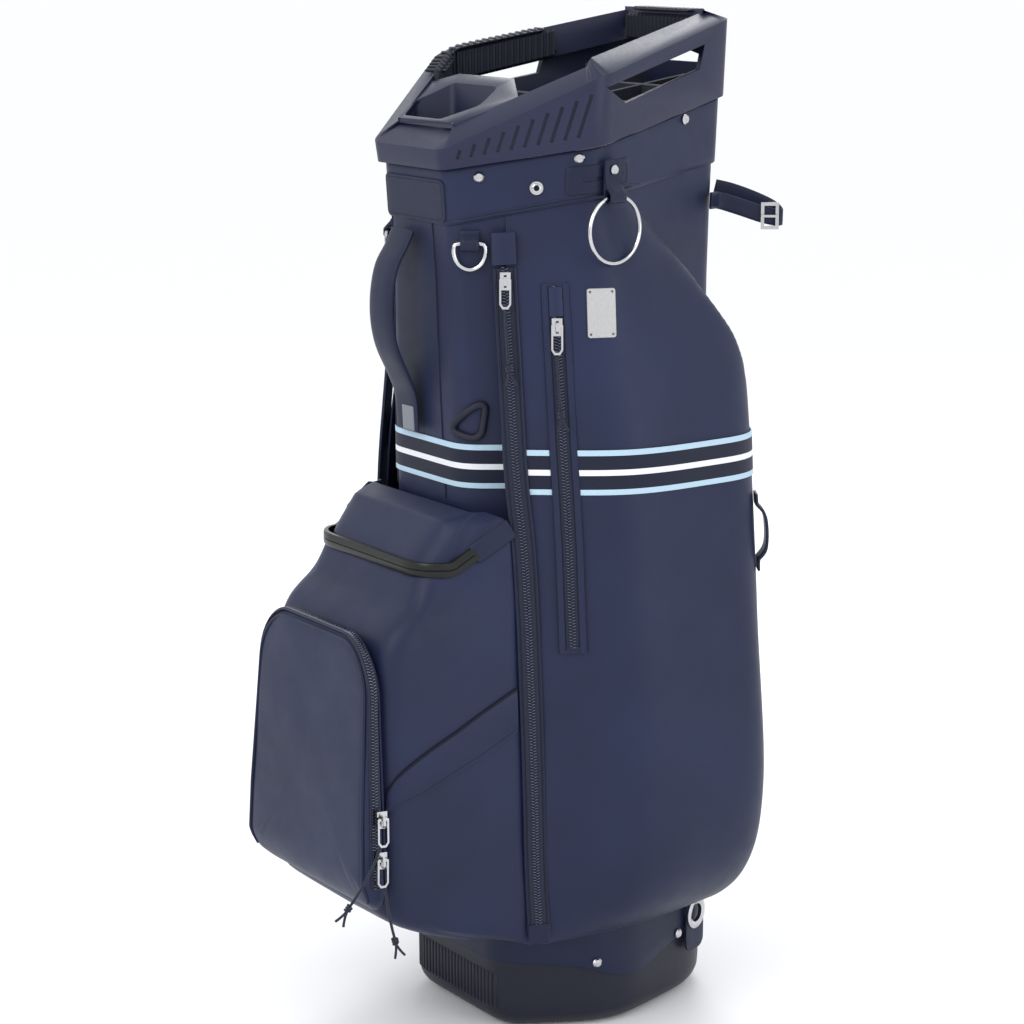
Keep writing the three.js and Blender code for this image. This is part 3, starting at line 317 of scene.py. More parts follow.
ZIP_TAPE = woven("zip_tape_cloth", (0.011, 0.015, 0.036), 2600)
CORD_BRAID = woven("cord_braid", (0.012, 0.017, 0.040), 5200, lift=0.8)
LABEL_CLOTH = woven("woven_label", (0.24, 0.26, 0.30), 3400)
THREAD = woven("sewing_thread", (0.010, 0.013, 0.034), 5200, "Object")
LINING = woven("divider_lining", (0.010, 0.012, 0.026), 1500, "Object", 0.92, 0.7)

band = Finish("striped_webbing", 0.72, Sheen_Weight=0.1, Specular_IOR_Level=0.3)
band_split = band.node("ShaderNodeSeparateXYZ")
band.link(band.place("UV"), band_split.inputs[0])
STRIPE_EDGES = (0.125, 0.435, 0.565, 0.875)
stripes = band.ramp(
    band_split.outputs["Y"],
    (0.0, STRIPE_BLUE),
    (STRIPE_EDGES[0], WEB_NAVY),
    (STRIPE_EDGES[1], STRIPE_WHITE),
    (STRIPE_EDGES[2], WEB_NAVY),
    (STRIPE_EDGES[3], STRIPE_BLUE),
    hard=True,
)
ribs_across = band.wave(1.0, "X", band.place("UV", (330, 1, 1)))
# The ribs multiply into the stripes' colour: painted shade in the hollows between ribs.
rib_shade = band.node("ShaderNodeMix", data_type="RGBA", blend_type="MULTIPLY")
rib_shade.inputs["Factor"].default_value = 0.25
band.link(stripes, rib_shade.inputs["A"])
band.link(ribs_across, rib_shade.inputs["B"])
band.colour(rib_shade.outputs["Result"])
band.bump((ribs_across, 0.5, RIB_DEPTH))
STRIPED = band.material
print("finishes:", len(bpy.data.materials))

# %% [markdown]
# ## Shapes from the frame
# A soft panel starts as a copy of its plain solid. Merging its loose triangles and joining them into quads
# gives back a clean grid, which Catmull-Clark subdivision turns into a smooth skin. Edges that fold sharply
# are creased first, so a cut edge of leather stays crisp. Soft folds are then pushed in, point by point.

# %% Copies of the frame's solids
WELD = 0.00003
SHARP = math.radians(38)


def copy_of(node):
    cloth = bmesh.new()
    cloth.from_mesh(NODES[node].data)
    bmesh.ops.remove_doubles(cloth, verts=cloth.verts, dist=WELD)
    return cloth


def mesh_from(cloth, name):
    mesh = bpy.data.meshes.new(name)
    cloth.to_mesh(mesh)
    cloth.free()
    return mesh


def evaluated(obj):
    """The object's mesh with its modifiers applied, as a mesh of its own."""
    graph = bpy.context.evaluated_depsgraph_get()
    return bpy.data.meshes.new_from_object(obj.evaluated_get(graph))


def applied(mesh, *modifiers):
    """The mesh after modifiers given as (kind, {setting: value})."""
    obj = added("working", mesh)
    for kind, settings in modifiers:
        modifier = obj.modifiers.new(kind, kind)
        for key, value in settings.items():
            setattr(modifier, key, value)
    made = evaluated(obj)
    bpy.data.objects.remove(obj)
    return made


def piece(name, mesh, material, body="bag", replaces=(), slot=None, sharp=SHARP):
    mesh.materials.clear()
    mesh.materials.append(material)
    mesh.shade_smooth()
    mesh.set_sharp_from_angle(angle=sharp)
    obj = added(name, mesh)
    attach(obj, body)
    if replaces:
        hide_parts(*replaces)
    return obj


def smoothed(node, levels=2, sharp=SHARP):
    """A subdivided copy of a plain soft solid, with its sharp folds creased."""
    cloth = copy_of(node)
    flat, shape = math.radians(14), math.radians(70)
    bmesh.ops.join_triangles(
        cloth, faces=cloth.faces, angle_face_threshold=flat, angle_shape_threshold=shape
    )
    crease = cloth.edges.layers.float.new("crease_edge")
    for edge in cloth.edges:
        if len(edge.link_faces) == 2 and edge.calc_face_angle(0) > sharp:
            edge[crease] = 0.9
    mesh = mesh_from(cloth, node)
    return applied(mesh, ("SUBSURF", {"levels": levels, "render_levels": levels}))


def moved(mesh, shift):
    """Moves each point by shift(point)."""
    for vertex in mesh.vertices:
        vertex.co = vertex.co + shift(vertex.co)
    return mesh


# %% [markdown]
# Moulded parts want the opposite treatment: their faces are flat and true, and only the edges are eased.
# Dissolving the flat triangles first leaves whole faces, so the Bevel modifier meets clean corners.

# %% Eased copies of moulded parts


def eased(node, radius, segments=2, limit=25):
    cloth = copy_of(node)
    bmesh.ops.dissolve_limit(
        cloth, angle_limit=math.radians(1.0), verts=cloth.verts, edges=cloth.edges, delimit={"NORMAL"}
    )
    mesh = mesh_from(cloth, node)
    bevel = {"width": radius, "segments": segments, "limit_method": "ANGLE"}
    bevel.update({"angle_limit": math.radians(limit), "use_clamp_overlap": True, "harden_normals": False})
    return applied(mesh, ("BEVEL", bevel))


# %% [markdown]
# ## Lines laid on the bag
# Seams, zips and bands are planned as a few points on one of the bag's sides, joined by a smooth curve, and
# dropped onto the surface by casting rays. Each laid point keeps the direction that faces out of the leather.

# %% Rays and laid lines
FAR_OUT = 0.7
STEP = 0.003
DEGREE = 0.002  # metres round the bag to a degree
TALL = 0.3  # the scale of a plan that runs upright, whose points may stand wider apart


def surface(*objects):
    """A ray target made of these pieces."""
    points, faces = [], []
    for obj in objects:
        start = len(points)
        points += [v.co.copy() for v in obj.data.vertices]
        faces += [[start + i for i in p.vertices] for p in obj.data.polygons]
    return BVHTree.FromPolygons(points, faces)


def level(bearing):
    """The level direction at a bearing, in degrees from +X."""
    return Vector((math.cos(math.radians(bearing)), math.sin(math.radians(bearing)), 0))


def from_round(bearing, z):
    way = level(bearing)
    return way * FAR_OUT + Vector((0, 0, z)), -way


def from_side(y, z, side=1):
    return Vector((side * FAR_OUT, y, z)), Vector((-side, 0, 0))


def from_front(x, z):
    return Vector((x, -FAR_OUT, z)), Vector((0, 1, 0))


def travelled(line):
    """How far along a line each of its points lies."""
    return np.concatenate([[0], np.cumsum(np.linalg.norm(np.diff(line, axis=0), axis=1))])


def resampled(line, count):
    gone = travelled(line)
    at = np.linspace(0, gone[-1], count)
    return np.stack([np.interp(at, gone, line[:, k]) for k in range(line.shape[1])], axis=1)


def spaced(line, step):
    return resampled(line, max(2, round(travelled(line)[-1] / step) + 1))


def curve_through(points, step=STEP):
    """Points about step apart on a Catmull-Rom curve through a few given points of any dimension."""
    given = [np.array(p, float) for p in points]
    ends = [given[0], *given, given[-1]]
    dense = []
    for a, b, c, d in zip(ends, ends[1:], ends[2:], ends[3:]):
        for t in np.linspace(0, 1, 24, endpoint=False):
            bend = (2 * a - 5 * b + 4 * c - d) * t * t + (3 * b - a - 3 * c + d) * t**3
            dense.append(0.5 * (2 * b + (c - a) * t + bend))
    dense.append(given[-1])
    return spaced(np.array(dense), step)


def averaged(rows, passes=2):
    rows = np.array(rows, float)
    for _ in range(passes):
        rows[1:-1] = (rows[:-2] + 2 * rows[1:-1] + rows[2:]) / 4
    return rows


def unit(rows):
    return rows / np.maximum(np.linalg.norm(rows, axis=1)[:, None], 1e-9)


def sideways(line, outs):
    """The directions across a line on the leather."""
    return unit(np.cross(np.gradient(np.array(line), axis=0), outs))


def laid(target, plan, cast, lift=0.0, step=STEP, scale=1.0):
    """(points, outs) of a planned line dropped on a target, where one unit of plan is scale metres."""
    points, outs = [], []
    for pair in curve_through(plan, step / scale):
        place, out, _, _ = target.ray_cast(*cast(*pair))
        if place is None:
            continue
        points.append(place)
        outs.append(out)
    outs = unit(averaged(outs, 6))
    points = averaged(points, 2) + outs * lift
    return points, outs


# %% [markdown]
# A section swept along a laid line makes piping, tapes, hems and bands. Its first coordinate runs sideways on
# the leather and its second stands out from it. The UV map runs in metres along the sweep, and across it
# either in metres or, for a striped band, once from edge to edge.

# %% Sweeps


def sweep(points, outs, section, closed=False, stretch_across=False):
    points, outs = np.array(points, float), np.array(outs, float)
    ahead = np.roll(points, -1, 0) - np.roll(points, 1, 0) if closed else np.gradient(points, axis=0)
    ahead = unit(ahead)
    side = unit(np.cross(ahead, outs))
    up = np.cross(side, ahead)
    section = np.array(section, float)
    gone = travelled(points)
    low, high = section[:, 0].min(), section[:, 0].max()
    mesh, count = bmesh.new(), len(section)
    uv = mesh.loops.layers.uv.new("UVMap")
    rings = [[mesh.verts.new(p + s * a + u * b) for a, b in section] for p, s, u in zip(points, side, up)]

    def face(corners, marks):
        made = mesh.faces.new(corners)
        for loop, (along, across) in zip(made.loops, marks):
            loop[uv].uv = (along, (across - low) / (high - low) if stretch_across else across)

    for i in range(len(rings) if closed else len(rings) - 1):
        j = (i + 1) % len(rings)
        here, there = gone[i], gone[j] if j else gone[-1] + STEP
        for k in range(count):
            n = (k + 1) % count
            a, b = section[k][0], section[n][0]
            face(
                [rings[i][k], rings[j][k], rings[j][n], rings[i][n]],
                [(here, a), (there, a), (there, b), (here, b)],
            )
    if not closed:
        for ring, here in ((rings[0], gone[0]), (rings[-1], gone[-1])):
            face(ring, [(here, a) for a, _ in section])
    bmesh.ops.recalc_face_normals(mesh, faces=mesh.faces)
    return mesh_from(mesh, "sweep")


def turns(sides):
    return [math.tau * k / sides for k in range(sides)]


def round_section(radius, sides=8, sink=0.0):
    return [(radius * math.cos(t), radius * math.sin(t) - sink) for t in turns(sides)]


def mirrored(right):
    """A whole section from its right half, which is given from its lowest point up."""
    left = [(-a, b) for a, b in right if a]
    return [left[0], *right, *left[:0:-1]]


def flat_section(width, thick, edge=None):
    """A strip's section: flat, with its long edges eased."""
    edge = edge or thick * 0.35
    half = width / 2
    return mirrored([(half, 0), (half, thick - edge), (half - edge, thick), (0, thick)])


# %% [markdown]
# ## Rows made with Geometry Nodes
# Stitches, zip teeth and moulded ribs are one small shape repeated along a line. The tree below takes a path,
# resamples it at an even spacing and sets the shape on each point. Z faces along the path's own "out"
# attribute and X along the path. Realize Instances makes the copies real, because an export would drop them.

# %% The row tree


def row_tree():
    tree = bpy.data.node_groups.new("row_along_path", "GeometryNodeTree")
    sockets = {"Path": "NodeSocketGeometry", "Spacing": "NodeSocketFloat"}
    sockets.update({"Shape": "NodeSocketObject", "Finish": "NodeSocketMaterial"})
    for name, kind in sockets.items():
        tree.interface.new_socket(name, in_out="INPUT", socket_type=kind)
    tree.interface.new_socket("Row", in_out="OUTPUT", socket_type="NodeSocketGeometry")
    new, link = tree.nodes.new, tree.links.new
    given, result = new("NodeGroupInput"), new("NodeGroupOutput")
    curve, even = new("GeometryNodeMeshToCurve"), new("GeometryNodeResampleCurve")
    even.mode = "LENGTH"
    link(given.outputs["Path"], curve.inputs["Mesh"])
    link(curve.outputs["Curve"], even.inputs["Curve"])
    link(given.outputs["Spacing"], even.inputs["Length"])
    out = new("GeometryNodeInputNamedAttribute")
    out.data_type = "FLOAT_VECTOR"
    out.inputs["Name"].default_value = "out"
    tangent = new("GeometryNodeInputTangent")
    face_out = new("FunctionNodeAlignRotationToVector")
    face_along = new("FunctionNodeAlignRotationToVector")
    face_out.axis = "Z"
    face_along.axis = "X"
    face_along.pivot_axis = "Z"
    link(out.outputs["Attribute"], face_out.inputs["Vector"])
    link(face_out.outputs["Rotation"], face_along.inputs["Rotation"])
    link(tangent.outputs["Tangent"], face_along.inputs["Vector"])
    shape, copies = new("GeometryNodeObjectInfo"), new("GeometryNodeInstanceOnPoints")
    link(given.outputs["Shape"], shape.inputs["Object"])
    link(even.outputs["Curve"], copies.inputs["Points"])
    link(shape.outputs["Geometry"], copies.inputs["Instance"])
    link(face_along.outputs["Rotation"], copies.inputs["Rotation"])
    real, finish = new("GeometryNodeRealizeInstances"), new("GeometryNodeSetMaterial")
    link(copies.outputs["Instances"], real.inputs["Geometry"])
    link(real.outputs["Geometry"], finish.inputs["Geometry"])
    link(given.outputs["Finish"], finish.inputs["Material"])
    link(finish.outputs["Geometry"], result.inputs["Row"])
    return tree


ROW_TREE = row_tree()


def row(name, runs, shape, spacing, material, body="bag", slot=None):
    """One piece with copies of shape along every run, where a run is (points, outs)."""
    points = [p for run, _ in runs for p in run]
    outs = [o for _, faces in runs for o in faces]
    edges, start = [], 0
    for run, _ in runs:
        edges += [(start + k, start + k + 1) for k in range(len(run) - 1)]
        start += len(run)
    path = bpy.data.meshes.new(name)
    path.from_pydata([tuple(p) for p in points], edges, [])
    facing = path.attributes.new("out", "FLOAT_VECTOR", "POINT")
    facing.data.foreach_set("vector", np.array(outs, np.float32).ravel())
    carrier = added(name, path)
    modifier = carrier.modifiers.new("rows", "NODES")
    modifier.node_group = ROW_TREE
    sockets = {s.name: s.identifier for s in ROW_TREE.interface.items_tree if s.in_out == "INPUT"}
    modifier[sockets["Spacing"]] = spacing
    modifier[sockets["Shape"]] = shape
    modifier[sockets["Finish"]] = material
    mesh = evaluated(carrier)
    bpy.data.objects.remove(carrier)
    made = piece(name, mesh, material, body, slot=slot)
    print(name, "faces:", len(mesh.polygons))
    return made


def stamp(name, mesh):
    """A shape for rows to copy. It is removed once the bag is finished."""
    obj = added("shape_" + name, mesh)
    STAMPS.append(obj)
    return obj


STAMPS = []


def skinned(mesh, loops, strips=False):
    """Joins closed loops of points, each to the next, and closes both ends.

    An end is one flat face, or, for an outline that is even about its first point, strips from side to side.
    """
    count = len(loops[0])
    for below, above in zip(loops, loops[1:]):
        for k in range(count):
            n = (k + 1) % count
            mesh.faces.new([below[k], below[n], above[n], above[k]])
    for cap in (loops[0], loops[-1]):
        if not strips:
            mesh.faces.new(cap)
            continue
        for k in range(count // 2):
            mesh.faces.new(dict.fromkeys([cap[k], cap[k + 1], cap[-k - 1], cap[-k % count]]))
    bmesh.ops.recalc_face_normals(mesh, faces=mesh.faces)
    return mesh


def bar(rings, sides, height=1.0):
    """A closed rounded bar along X: rings are (x, radius) pairs."""
    mesh = bmesh.new()
    loops = []
    for x, radius in rings:
        places = [(x, radius * math.cos(t), height * radius * math.sin(t)) for t in turns(sides)]
        loops.append([mesh.verts.new(place) for place in places])
    return skinned(mesh, loops)


def rod(half, radius, tip, taper, sides, height=1.0):
    """A bar of even radius whose two ends narrow to a tip."""
    return bar([(-half, tip), (-half + taper, radius), (half - taper, radius), (half, tip)], sides, height)


def upended(mesh):
    """Turns a bar a quarter about Z, so that it lies across its row."""
    for vertex in mesh.verts:
        vertex.co = Vector((-vertex.co.y, vertex.co.x, vertex.co.z))
    return mesh


STITCH_SPACING, STITCH_LIFT = 0.0034, 0.0002
STITCH_HALF, STITCH_RADIUS, STITCH_TIP = 0.0012, 0.00032, 0.0001
stitch_mesh = rod(STITCH_HALF, STITCH_RADIUS, STITCH_TIP, 0.0003, 6)
STITCH_SHAPE = stamp("stitch", mesh_from(stitch_mesh, "stitch"))
stitch_runs = []
print("row tree ready")

# %% [markdown]
# ## Rigid parts
# The base cup and the divider top are injection moulded, so they keep their flat faces and get eased edges.
# Rivets, rings and buckle are true in the frame already: they stay, and only take their finish.

# %% Moulded parts and metalwork
TOP_EASE = 0.0011
top = piece(
    "divider_top", eased("top_moulding", TOP_EASE), TOP_PLASTIC, replaces=["top_moulding"], slot="moulded_top"
)
base = piece("base", smoothed("base_cup", 1), BASE_PLASTIC, replaces=["base_cup"], slot="moulded_base")

FINISH_OF_SLOT = {
    "nickel": NICKEL, "brushed_plate": BRUSHED, "grip_rubber": GRIP_RUBBER, "divider_fabric": LINING,
    "moulded_top": TOP_PLASTIC, "moulded_base": BASE_PLASTIC, "zip_tape": ZIP_TAPE, "cord": CORD_BRAID,
    "coated_leather": LEATHER, "webbing": LINING, "patch_rubber": PATCH_RUBBER,
}
for part in frame["record"]["subparts"]:
    mesh = NODES[part["node"]].data
    mesh.materials.clear()
    mesh.materials.append(FINISH_OF_SLOT[part["material_slot"]])
    mesh.shade_smooth()
    mesh.set_sharp_from_angle(angle=SHARP)

# %% [markdown]
# ## Leather panels
# The body is a tube of leather over a stiff liner. The side pockets and the lower pocket are thick, lined
# panels that bow outwards. A few long, shallow folds follow the way each panel hangs, and a finer ripple
# keeps the light from running perfectly straight.

# %% Panels


def ripple(point, size, depth):
    """A gentle unevenness, the same on each run."""
    return depth * noise.noise(Vector(point) * (1 / size))


def outward(point, centre):
    way = Vector((point.x - centre[0], point.y - centre[1], 0))
    return way.normalized() if way.length > 1e-6 else Vector((0, 0, 0))


def soft(centre, *ripples):
    """A shift away from an upright line, summed from (size, depth) ripples."""

    def shift(point):
        return outward(point, centre) * sum(ripple(point, size, depth) for size, depth in ripples)

    return shift


POCKET_CENTRE = 0.05
BODY_RIPPLES = ((0.09, 0.0011), (0.035, 0.0003))  # each a size and a depth
POCKET_RIPPLES = ((0.13, 0.0020), (0.045, 0.0006))
body_mesh = moved(smoothed("body_tube", 2), soft((0, 0), *BODY_RIPPLES))
body = piece("body_panel", body_mesh, LEATHER, replaces=["body_tube"], slot="coated_leather")
BODY = surface(body)

# %% [markdown]
# The side pocket has no edge at its top front: its leather runs up and disappears under the collar. Towards
# the rear its seam drops in a long arc, and behind the arc only the body shows. So the panel's last stretch
# is drawn up and thinned towards the body, and whatever lies beyond the arc sinks just under the body's skin.

# %% Side pockets
TUCK_FROM, TUCK_TO = 0.640, 0.752
POCKET_RIM = 0.712
ARC = [
    (-0.2, 0.790), (0.000, 0.764), (0.029, 0.735), (0.052, 0.717), (0.072, 0.699), (0.092, 0.674),
    (0.106, 0.650), (0.116, 0.622), (0.123, 0.590), (0.128, 0.550),
]
ARC_Y, ARC_Z = zip(*ARC)
ARC_ROLL = 0.017  # how far the leather rolls over before it meets the body
SHOULDER = (0.100, 0.645, 0.045, 0.0065)  # the full corner under the arc: y, z, size, depth
SAG_Y, SAG_Z, SAG_SIZE, SAG_DEPTH = -0.05, 0.36, 0.05, 0.002  # the slack where the leather hangs inwards
SAG_SLOPE = Vector((0.6, 1.0, -0.35)).normalized().z
THIN_FROM, THIN_TO, THINNED = 0.685, 0.745, 0.86  # the share of its thickness that the top loses
SUNK = 0.004  # how far the leather beyond the arc lies under the body's skin
COLLAR_MIDDLE = 0.80


def eased_step(value, low, high):
    t = min(1.0, max(0.0, (value - low) / (high - low)))
    return t * t * (3 - 2 * t)


def body_reach(way, z):
    place = BODY.ray_cast(way * FAR_OUT + Vector((0, 0, z)), -way)[0]
    return math.hypot(place.x, place.y) if place else None


def drawn_up(side):
    """The side pocket's shift: folds first, then the tuck under the collar and the roll over the arc."""
    folds = soft((side * POCKET_CENTRE, 0), *POCKET_RIPPLES)

    def shift(point):
        place = point + folds(point)
        y0, z0, size, depth = SHOULDER
        full = math.exp(-((place.y - y0) ** 2 + (place.z - z0) ** 2) / size**2)
        place += outward(place, (0, 0)) * depth * full
        below = (place.z - SAG_Z + place.y * SAG_SLOPE) / SAG_SIZE
        along = (place.y - SAG_Y) / SAG_SIZE
        sag = math.exp(-(below**2)) * math.exp(-(along**2))
        place -= outward(place, (0, 0)) * SAG_DEPTH * sag
        if place.z > TUCK_FROM:
            place.z += (TUCK_TO - POCKET_RIM) * eased_step(place.z, TUCK_FROM, POCKET_RIM)
        flat = Vector((place.x, place.y, 0))
        way = flat.normalized()
        reach = body_reach(way, min(place.z, COLLAR_MIDDLE))
        if reach is None:
            return place - point
        over = flat.length - reach
        edge = np.interp(place.y, ARC_Y, ARC_Z)
        near = eased_step(place.z, THIN_FROM, THIN_TO)
        past = eased_step(place.z, edge - ARC_ROLL, edge)
        over = over * (1 - THINNED * near) * (1 - past) - SUNK * past
        return way * (reach + over) + Vector((0, 0, place.z)) - point

    return shift


side_pockets = []
for side, node in ((1, "side_pocket_near"), (-1, "side_pocket_far")):
    mesh = moved(smoothed(node, 3), drawn_up(side))
    mesh = applied(mesh, ("SMOOTH", {"factor": 0.5, "iterations": 12}))
    name = node.replace("pocket", "panel")
    side_pockets.append(piece(name, mesh, LEATHER, replaces=[node], slot="coated_leather"))
NEAR, FAR = (surface(pocket) for pocket in side_pockets)
print("side pockets:", [len(p.data.polygons) for p in side_pockets])

# %% Lower pocket, hood, collar and trim
SETTLE_BACK, SETTLE_UP = 0.020, 0.012
SETTLE_Z, SETTLE_Y = (0.392, 0.440), (0.135, 0.200)  # where the lean sets in and where it is whole


def settled(point):
    """The pocket stack's upper part leans back and sits higher towards the front."""
    share = eased_step(point.z, *SETTLE_Z) * eased_step(-point.y, *SETTLE_Y)
    return Vector((0, SETTLE_BACK * share, SETTLE_UP * share))


def both(*shifts):
    return lambda point: sum((shift(point) for shift in shifts), Vector())


def leather_piece(name, node, shift, levels=2, sharp=SHARP):
    mesh = moved(smoothed(node, levels, sharp), shift)
    return piece(name, mesh, LEATHER, replaces=[node], slot="coated_leather")


STACK_CENTRE = (0, -0.1)
lower_folds = both(settled, soft(STACK_CENTRE, (0.1, 0.0016), (0.04, 0.0005)))
lower = leather_piece("lower_panel", "lower_pocket", lower_folds)
hood_folds = both(settled, soft(STACK_CENTRE, (0.06, 0.0006)))
hood = leather_piece("valuables_hood", "valuables_pocket", hood_folds, 3, math.radians(24))
collar = leather_piece("collar", "collar_band", soft((0, 0), (0.1, 0.0004)))
piece("base_hem", smoothed("base_trim", 2), LEATHER_TRIM, replaces=["base_trim"], slot="coated_leather")

SMALL_SOFT = {
    "umbrella_strap": "shaft_strap", "cart_strap_keeper": "strap_bridge", "umbrella_tab": "tip_tab",
    "ring_tab": "ring_strap", "d_ring_tab_near": "d_ring_strap_near", "d_ring_tab_far": "d_ring_strap_far",
}
for node, name in SMALL_SOFT.items():
    slot_name = next(p["material_slot"] for p in frame["record"]["subparts"] if p["node"] == node)
    piece(name, smoothed(node, 2), LEATHER_TRIM, replaces=[node], slot=slot_name)
LOWER, HOOD, COLLAR = surface(lower), surface(hood), surface(collar)
print("small pieces:", len(SMALL_SOFT))

# %% [markdown]
# ## The ball pocket
# The ball pocket is a shallow box: a domed front, a gusset that carries its zip, and piping where the two
# meet. It is built as rings of one rounded outline. The first rings climb the gusset, the rest shrink over
# the front until they close at the middle, so the surface has no hole and no hard fold.

# %% Ball pocket outline
BALL_HALF = 0.099
BALL_LOW, BALL_HIGH = 0.152, 0.389
BALL_BACK = -0.2436
BALL_FRONT = [
    (0.150, -0.2480), (0.162, -0.2600), (0.180, -0.2670), (0.225, -0.2655), (0.300, -0.2600),
    (0.350, -0.2565), (0.375, -0.2545), (0.392, -0.2520),
]
FRONT_Z, FRONT_Y = zip(*BALL_FRONT)
TOP_ROUND, LOW_ROUND = 0.044, 0.022
AROUND = 240
TAPER, TAPER_FROM, TAPER_CURVE = 0.15, 0.235, 1.4  # the pocket narrows towards its top


def ball_outline(inset=0.0):
    """(x, z) round the pocket's front, from the middle of its bottom edge up the near side first."""
    half, low, high = BALL_HALF - inset, BALL_LOW + inset, BALL_HIGH - inset
    top, bottom = (max(r - inset, 0.004) for r in (TOP_ROUND, LOW_ROUND))
    corners = [
        (half, low, bottom, -90), (half, high, top, 0), (-half, high, top, 90), (-half, low, bottom, 180),
    ]
    line = [(0, low)]
    for x, z, radius, start in corners:
        cx, cz = x - math.copysign(radius, x), z + (radius if z == low else -radius)
        for k in range(13):
            turn = math.radians(start + 90 * k / 12)
            line.append((cx + radius * math.cos(turn), cz + radius * math.sin(turn)))
    line = np.array(line + [line[0]])
    risen = np.clip((line[:, 1] - TAPER_FROM) / (high - TAPER_FROM), 0, 1)
    line[:, 0] *= 1 - TAPER * risen**TAPER_CURVE
    return resampled(line, AROUND + 1)[:-1]


def ball_front(z):
    return float(np.interp(z, FRONT_Z, FRONT_Y))


def ball_ring(inset, share):
    """The outline at a share of the depth from the gusset's back (0) to the front (1)."""
    return [(x, BALL_BACK + (ball_front(z) - BALL_BACK) * share, z) for x, z in ball_outline(inset)]


GUSSET_RINGS = [(0.0, 0.0), (-0.001, 0.15), (-0.0018, 0.4), (-0.0014, 0.65), (0.0006, 0.86)]
EDGE_RINGS = [(0.0030, 0.955), (0.0045, 0.93), (0.0070, 0.985), (0.0120, 1.0)]
DOME_RINGS = [(0.022, 1.012), (0.036, 1.02), (0.055, 1.026), (0.074, 1.028), (0.090, 1.03)]
ball_mesh = bmesh.new()
rings = [ball_ring(inset, share) for inset, share in GUSSET_RINGS + EDGE_RINGS + DOME_RINGS]
loops = [[ball_mesh.verts.new(p) for p in ring] for ring in rings]
ball_shape = mesh_from(skinned(ball_mesh, loops, strips=True), "ball")


def ball_folds(point):
    slack = ripple(point, 0.09, 0.0018) + ripple(point, 0.04, 0.0006)
    return Vector((0, -slack * eased_step(-point.y, 0.245, 0.255), 0))


ball_shape = applied(ball_shape, ("SUBSURF", {"levels": 1, "render_levels": 1}))
piece("ball_panel", moved(ball_shape, ball_folds), LEATHER, replaces=["ball_pocket"], slot="coated_leather")

# %% [markdown]
# ## Zips
# Each zip is a woven tape, a row of coil teeth along its middle and a strip of leather at each edge. The long
# zip runs up the front edge of the side pocket, the short one sits in its own stitched window, and the ball
# pocket's follows the gusset over the top. The moving sliders and pulls are the frame's own parts.

# %% Zip tapes and teeth
TOOTH_SPACING = 0.0026
TOOTH_HALF, TOOTH_LEAN = 0.0021, 16
TOOTH_LONG, TOOTH_RADIUS, TOOTH_TIP = 0.0016, 0.00062, 0.0003
tooth_mesh = bmesh.new()
for turn in (1, -1):
    half_tooth = rod(TOOTH_LONG, TOOTH_RADIUS, TOOTH_TIP, TOOTH_TIP, 6)
    half_tooth.transform(Matrix.Rotation(math.radians(90 - TOOTH_LEAN * turn), 4, "Z"))
    half_tooth.transform(Matrix.Translation((turn * TOOTH_SPACING / 4, turn * TOOTH_HALF * 0.72, 0.0004)))
    tooth_mesh.from_mesh(mesh_from(half_tooth, "half_tooth"))
TOOTH_SHAPE = stamp("tooth", mesh_from(tooth_mesh, "tooth"))
teeth_runs = []
TAPE_THICK, TAPE_MARGIN = 0.0012, 0.001
LONG_TAPE, SHORT_TAPE, BALL_TAPE = 0.0165, 0.011, 0.0085  # widths
LONG_EDGE, LONG_GAP, SHORT_GAP = 0.0088, 0.0072, 0.0056  # from the zip's middle
EDGE_RADIUS, GAP_RADIUS = 0.0015, 0.0006


def tape_line(node):
    """The middle of a tape node's outer face, sunk by the tape's thickness, and the way it faces."""
    points = np.array([v.co for v in NODES[node].data.vertices])
    low, high = points[:, 2].min(), points[:, 2].max()
    tree = surface(NODES[node])
    line, outs = [], []
    for z in np.linspace(low + TAPE_MARGIN, high - TAPE_MARGIN, max(8, int((high - low) / 0.006))):
        hits = []
        for bearing in np.arange(-80, 10, 0.25):
            place, out, _, _ = tree.ray_cast(*from_round(bearing, z))
            if place:
                hits.append((place, out))
        middle = hits[len(hits) // 2]
        line.append((hits[0][0] + hits[-1][0]) / 2 * 0.5 + middle[0] * 0.5)
        outs.append(middle[1])
    outs = averaged(outs, 6)
    return averaged(line, 3) - outs * TAPE_THICK, outs


def zip_strip(name, line, outs, width, node):
    """A zip's tape, which takes its CAD node's place, and the run of its teeth."""
    tape = sweep(line, outs, flat_section(width, TAPE_THICK))
    piece(name, tape, ZIP_TAPE, replaces=[node], slot="zip_tape")
    teeth_runs.append((line + outs * TAPE_THICK, outs))


def edge_strips(name, line, outs, apart, radius, material, sink):
    """Two thin strips beside a zip: folded leather edges, or, in the seam_shadow finish, painted shadow lines
    along its gaps.
    """
    for mark, hand in (("front", -1), ("rear", 1)):
        shifted = line + sideways(line, outs) * apart * hand
        piece(f"{name}_{mark}", sweep(shifted, outs, round_section(radius, 8, sink)), material)


long_line, long_outs = tape_line("long_zip")
zip_strip("long_zip_tape", long_line, long_outs, LONG_TAPE, "long_zip")
edge_strips("long_zip_edge", long_line, long_outs, LONG_EDGE, EDGE_RADIUS, LEATHER_TRIM, 0.0006)
# The gap strips are near-black: painted shadow in the gaps between the tape and the leather edges.
edge_strips("long_zip_gap", long_line, long_outs, LONG_GAP, GAP_RADIUS, SHADOW, -0.0010)

short_line, short_outs = tape_line("short_zip")
zip_strip("short_zip_tape", short_line, short_outs, SHORT_TAPE, "short_zip")
# Near-black strips beside the short zip: painted shadow in its gaps.
edge_strips("short_zip_gap", short_line, short_outs, SHORT_GAP, GAP_RADIUS, SHADOW, -0.0008)

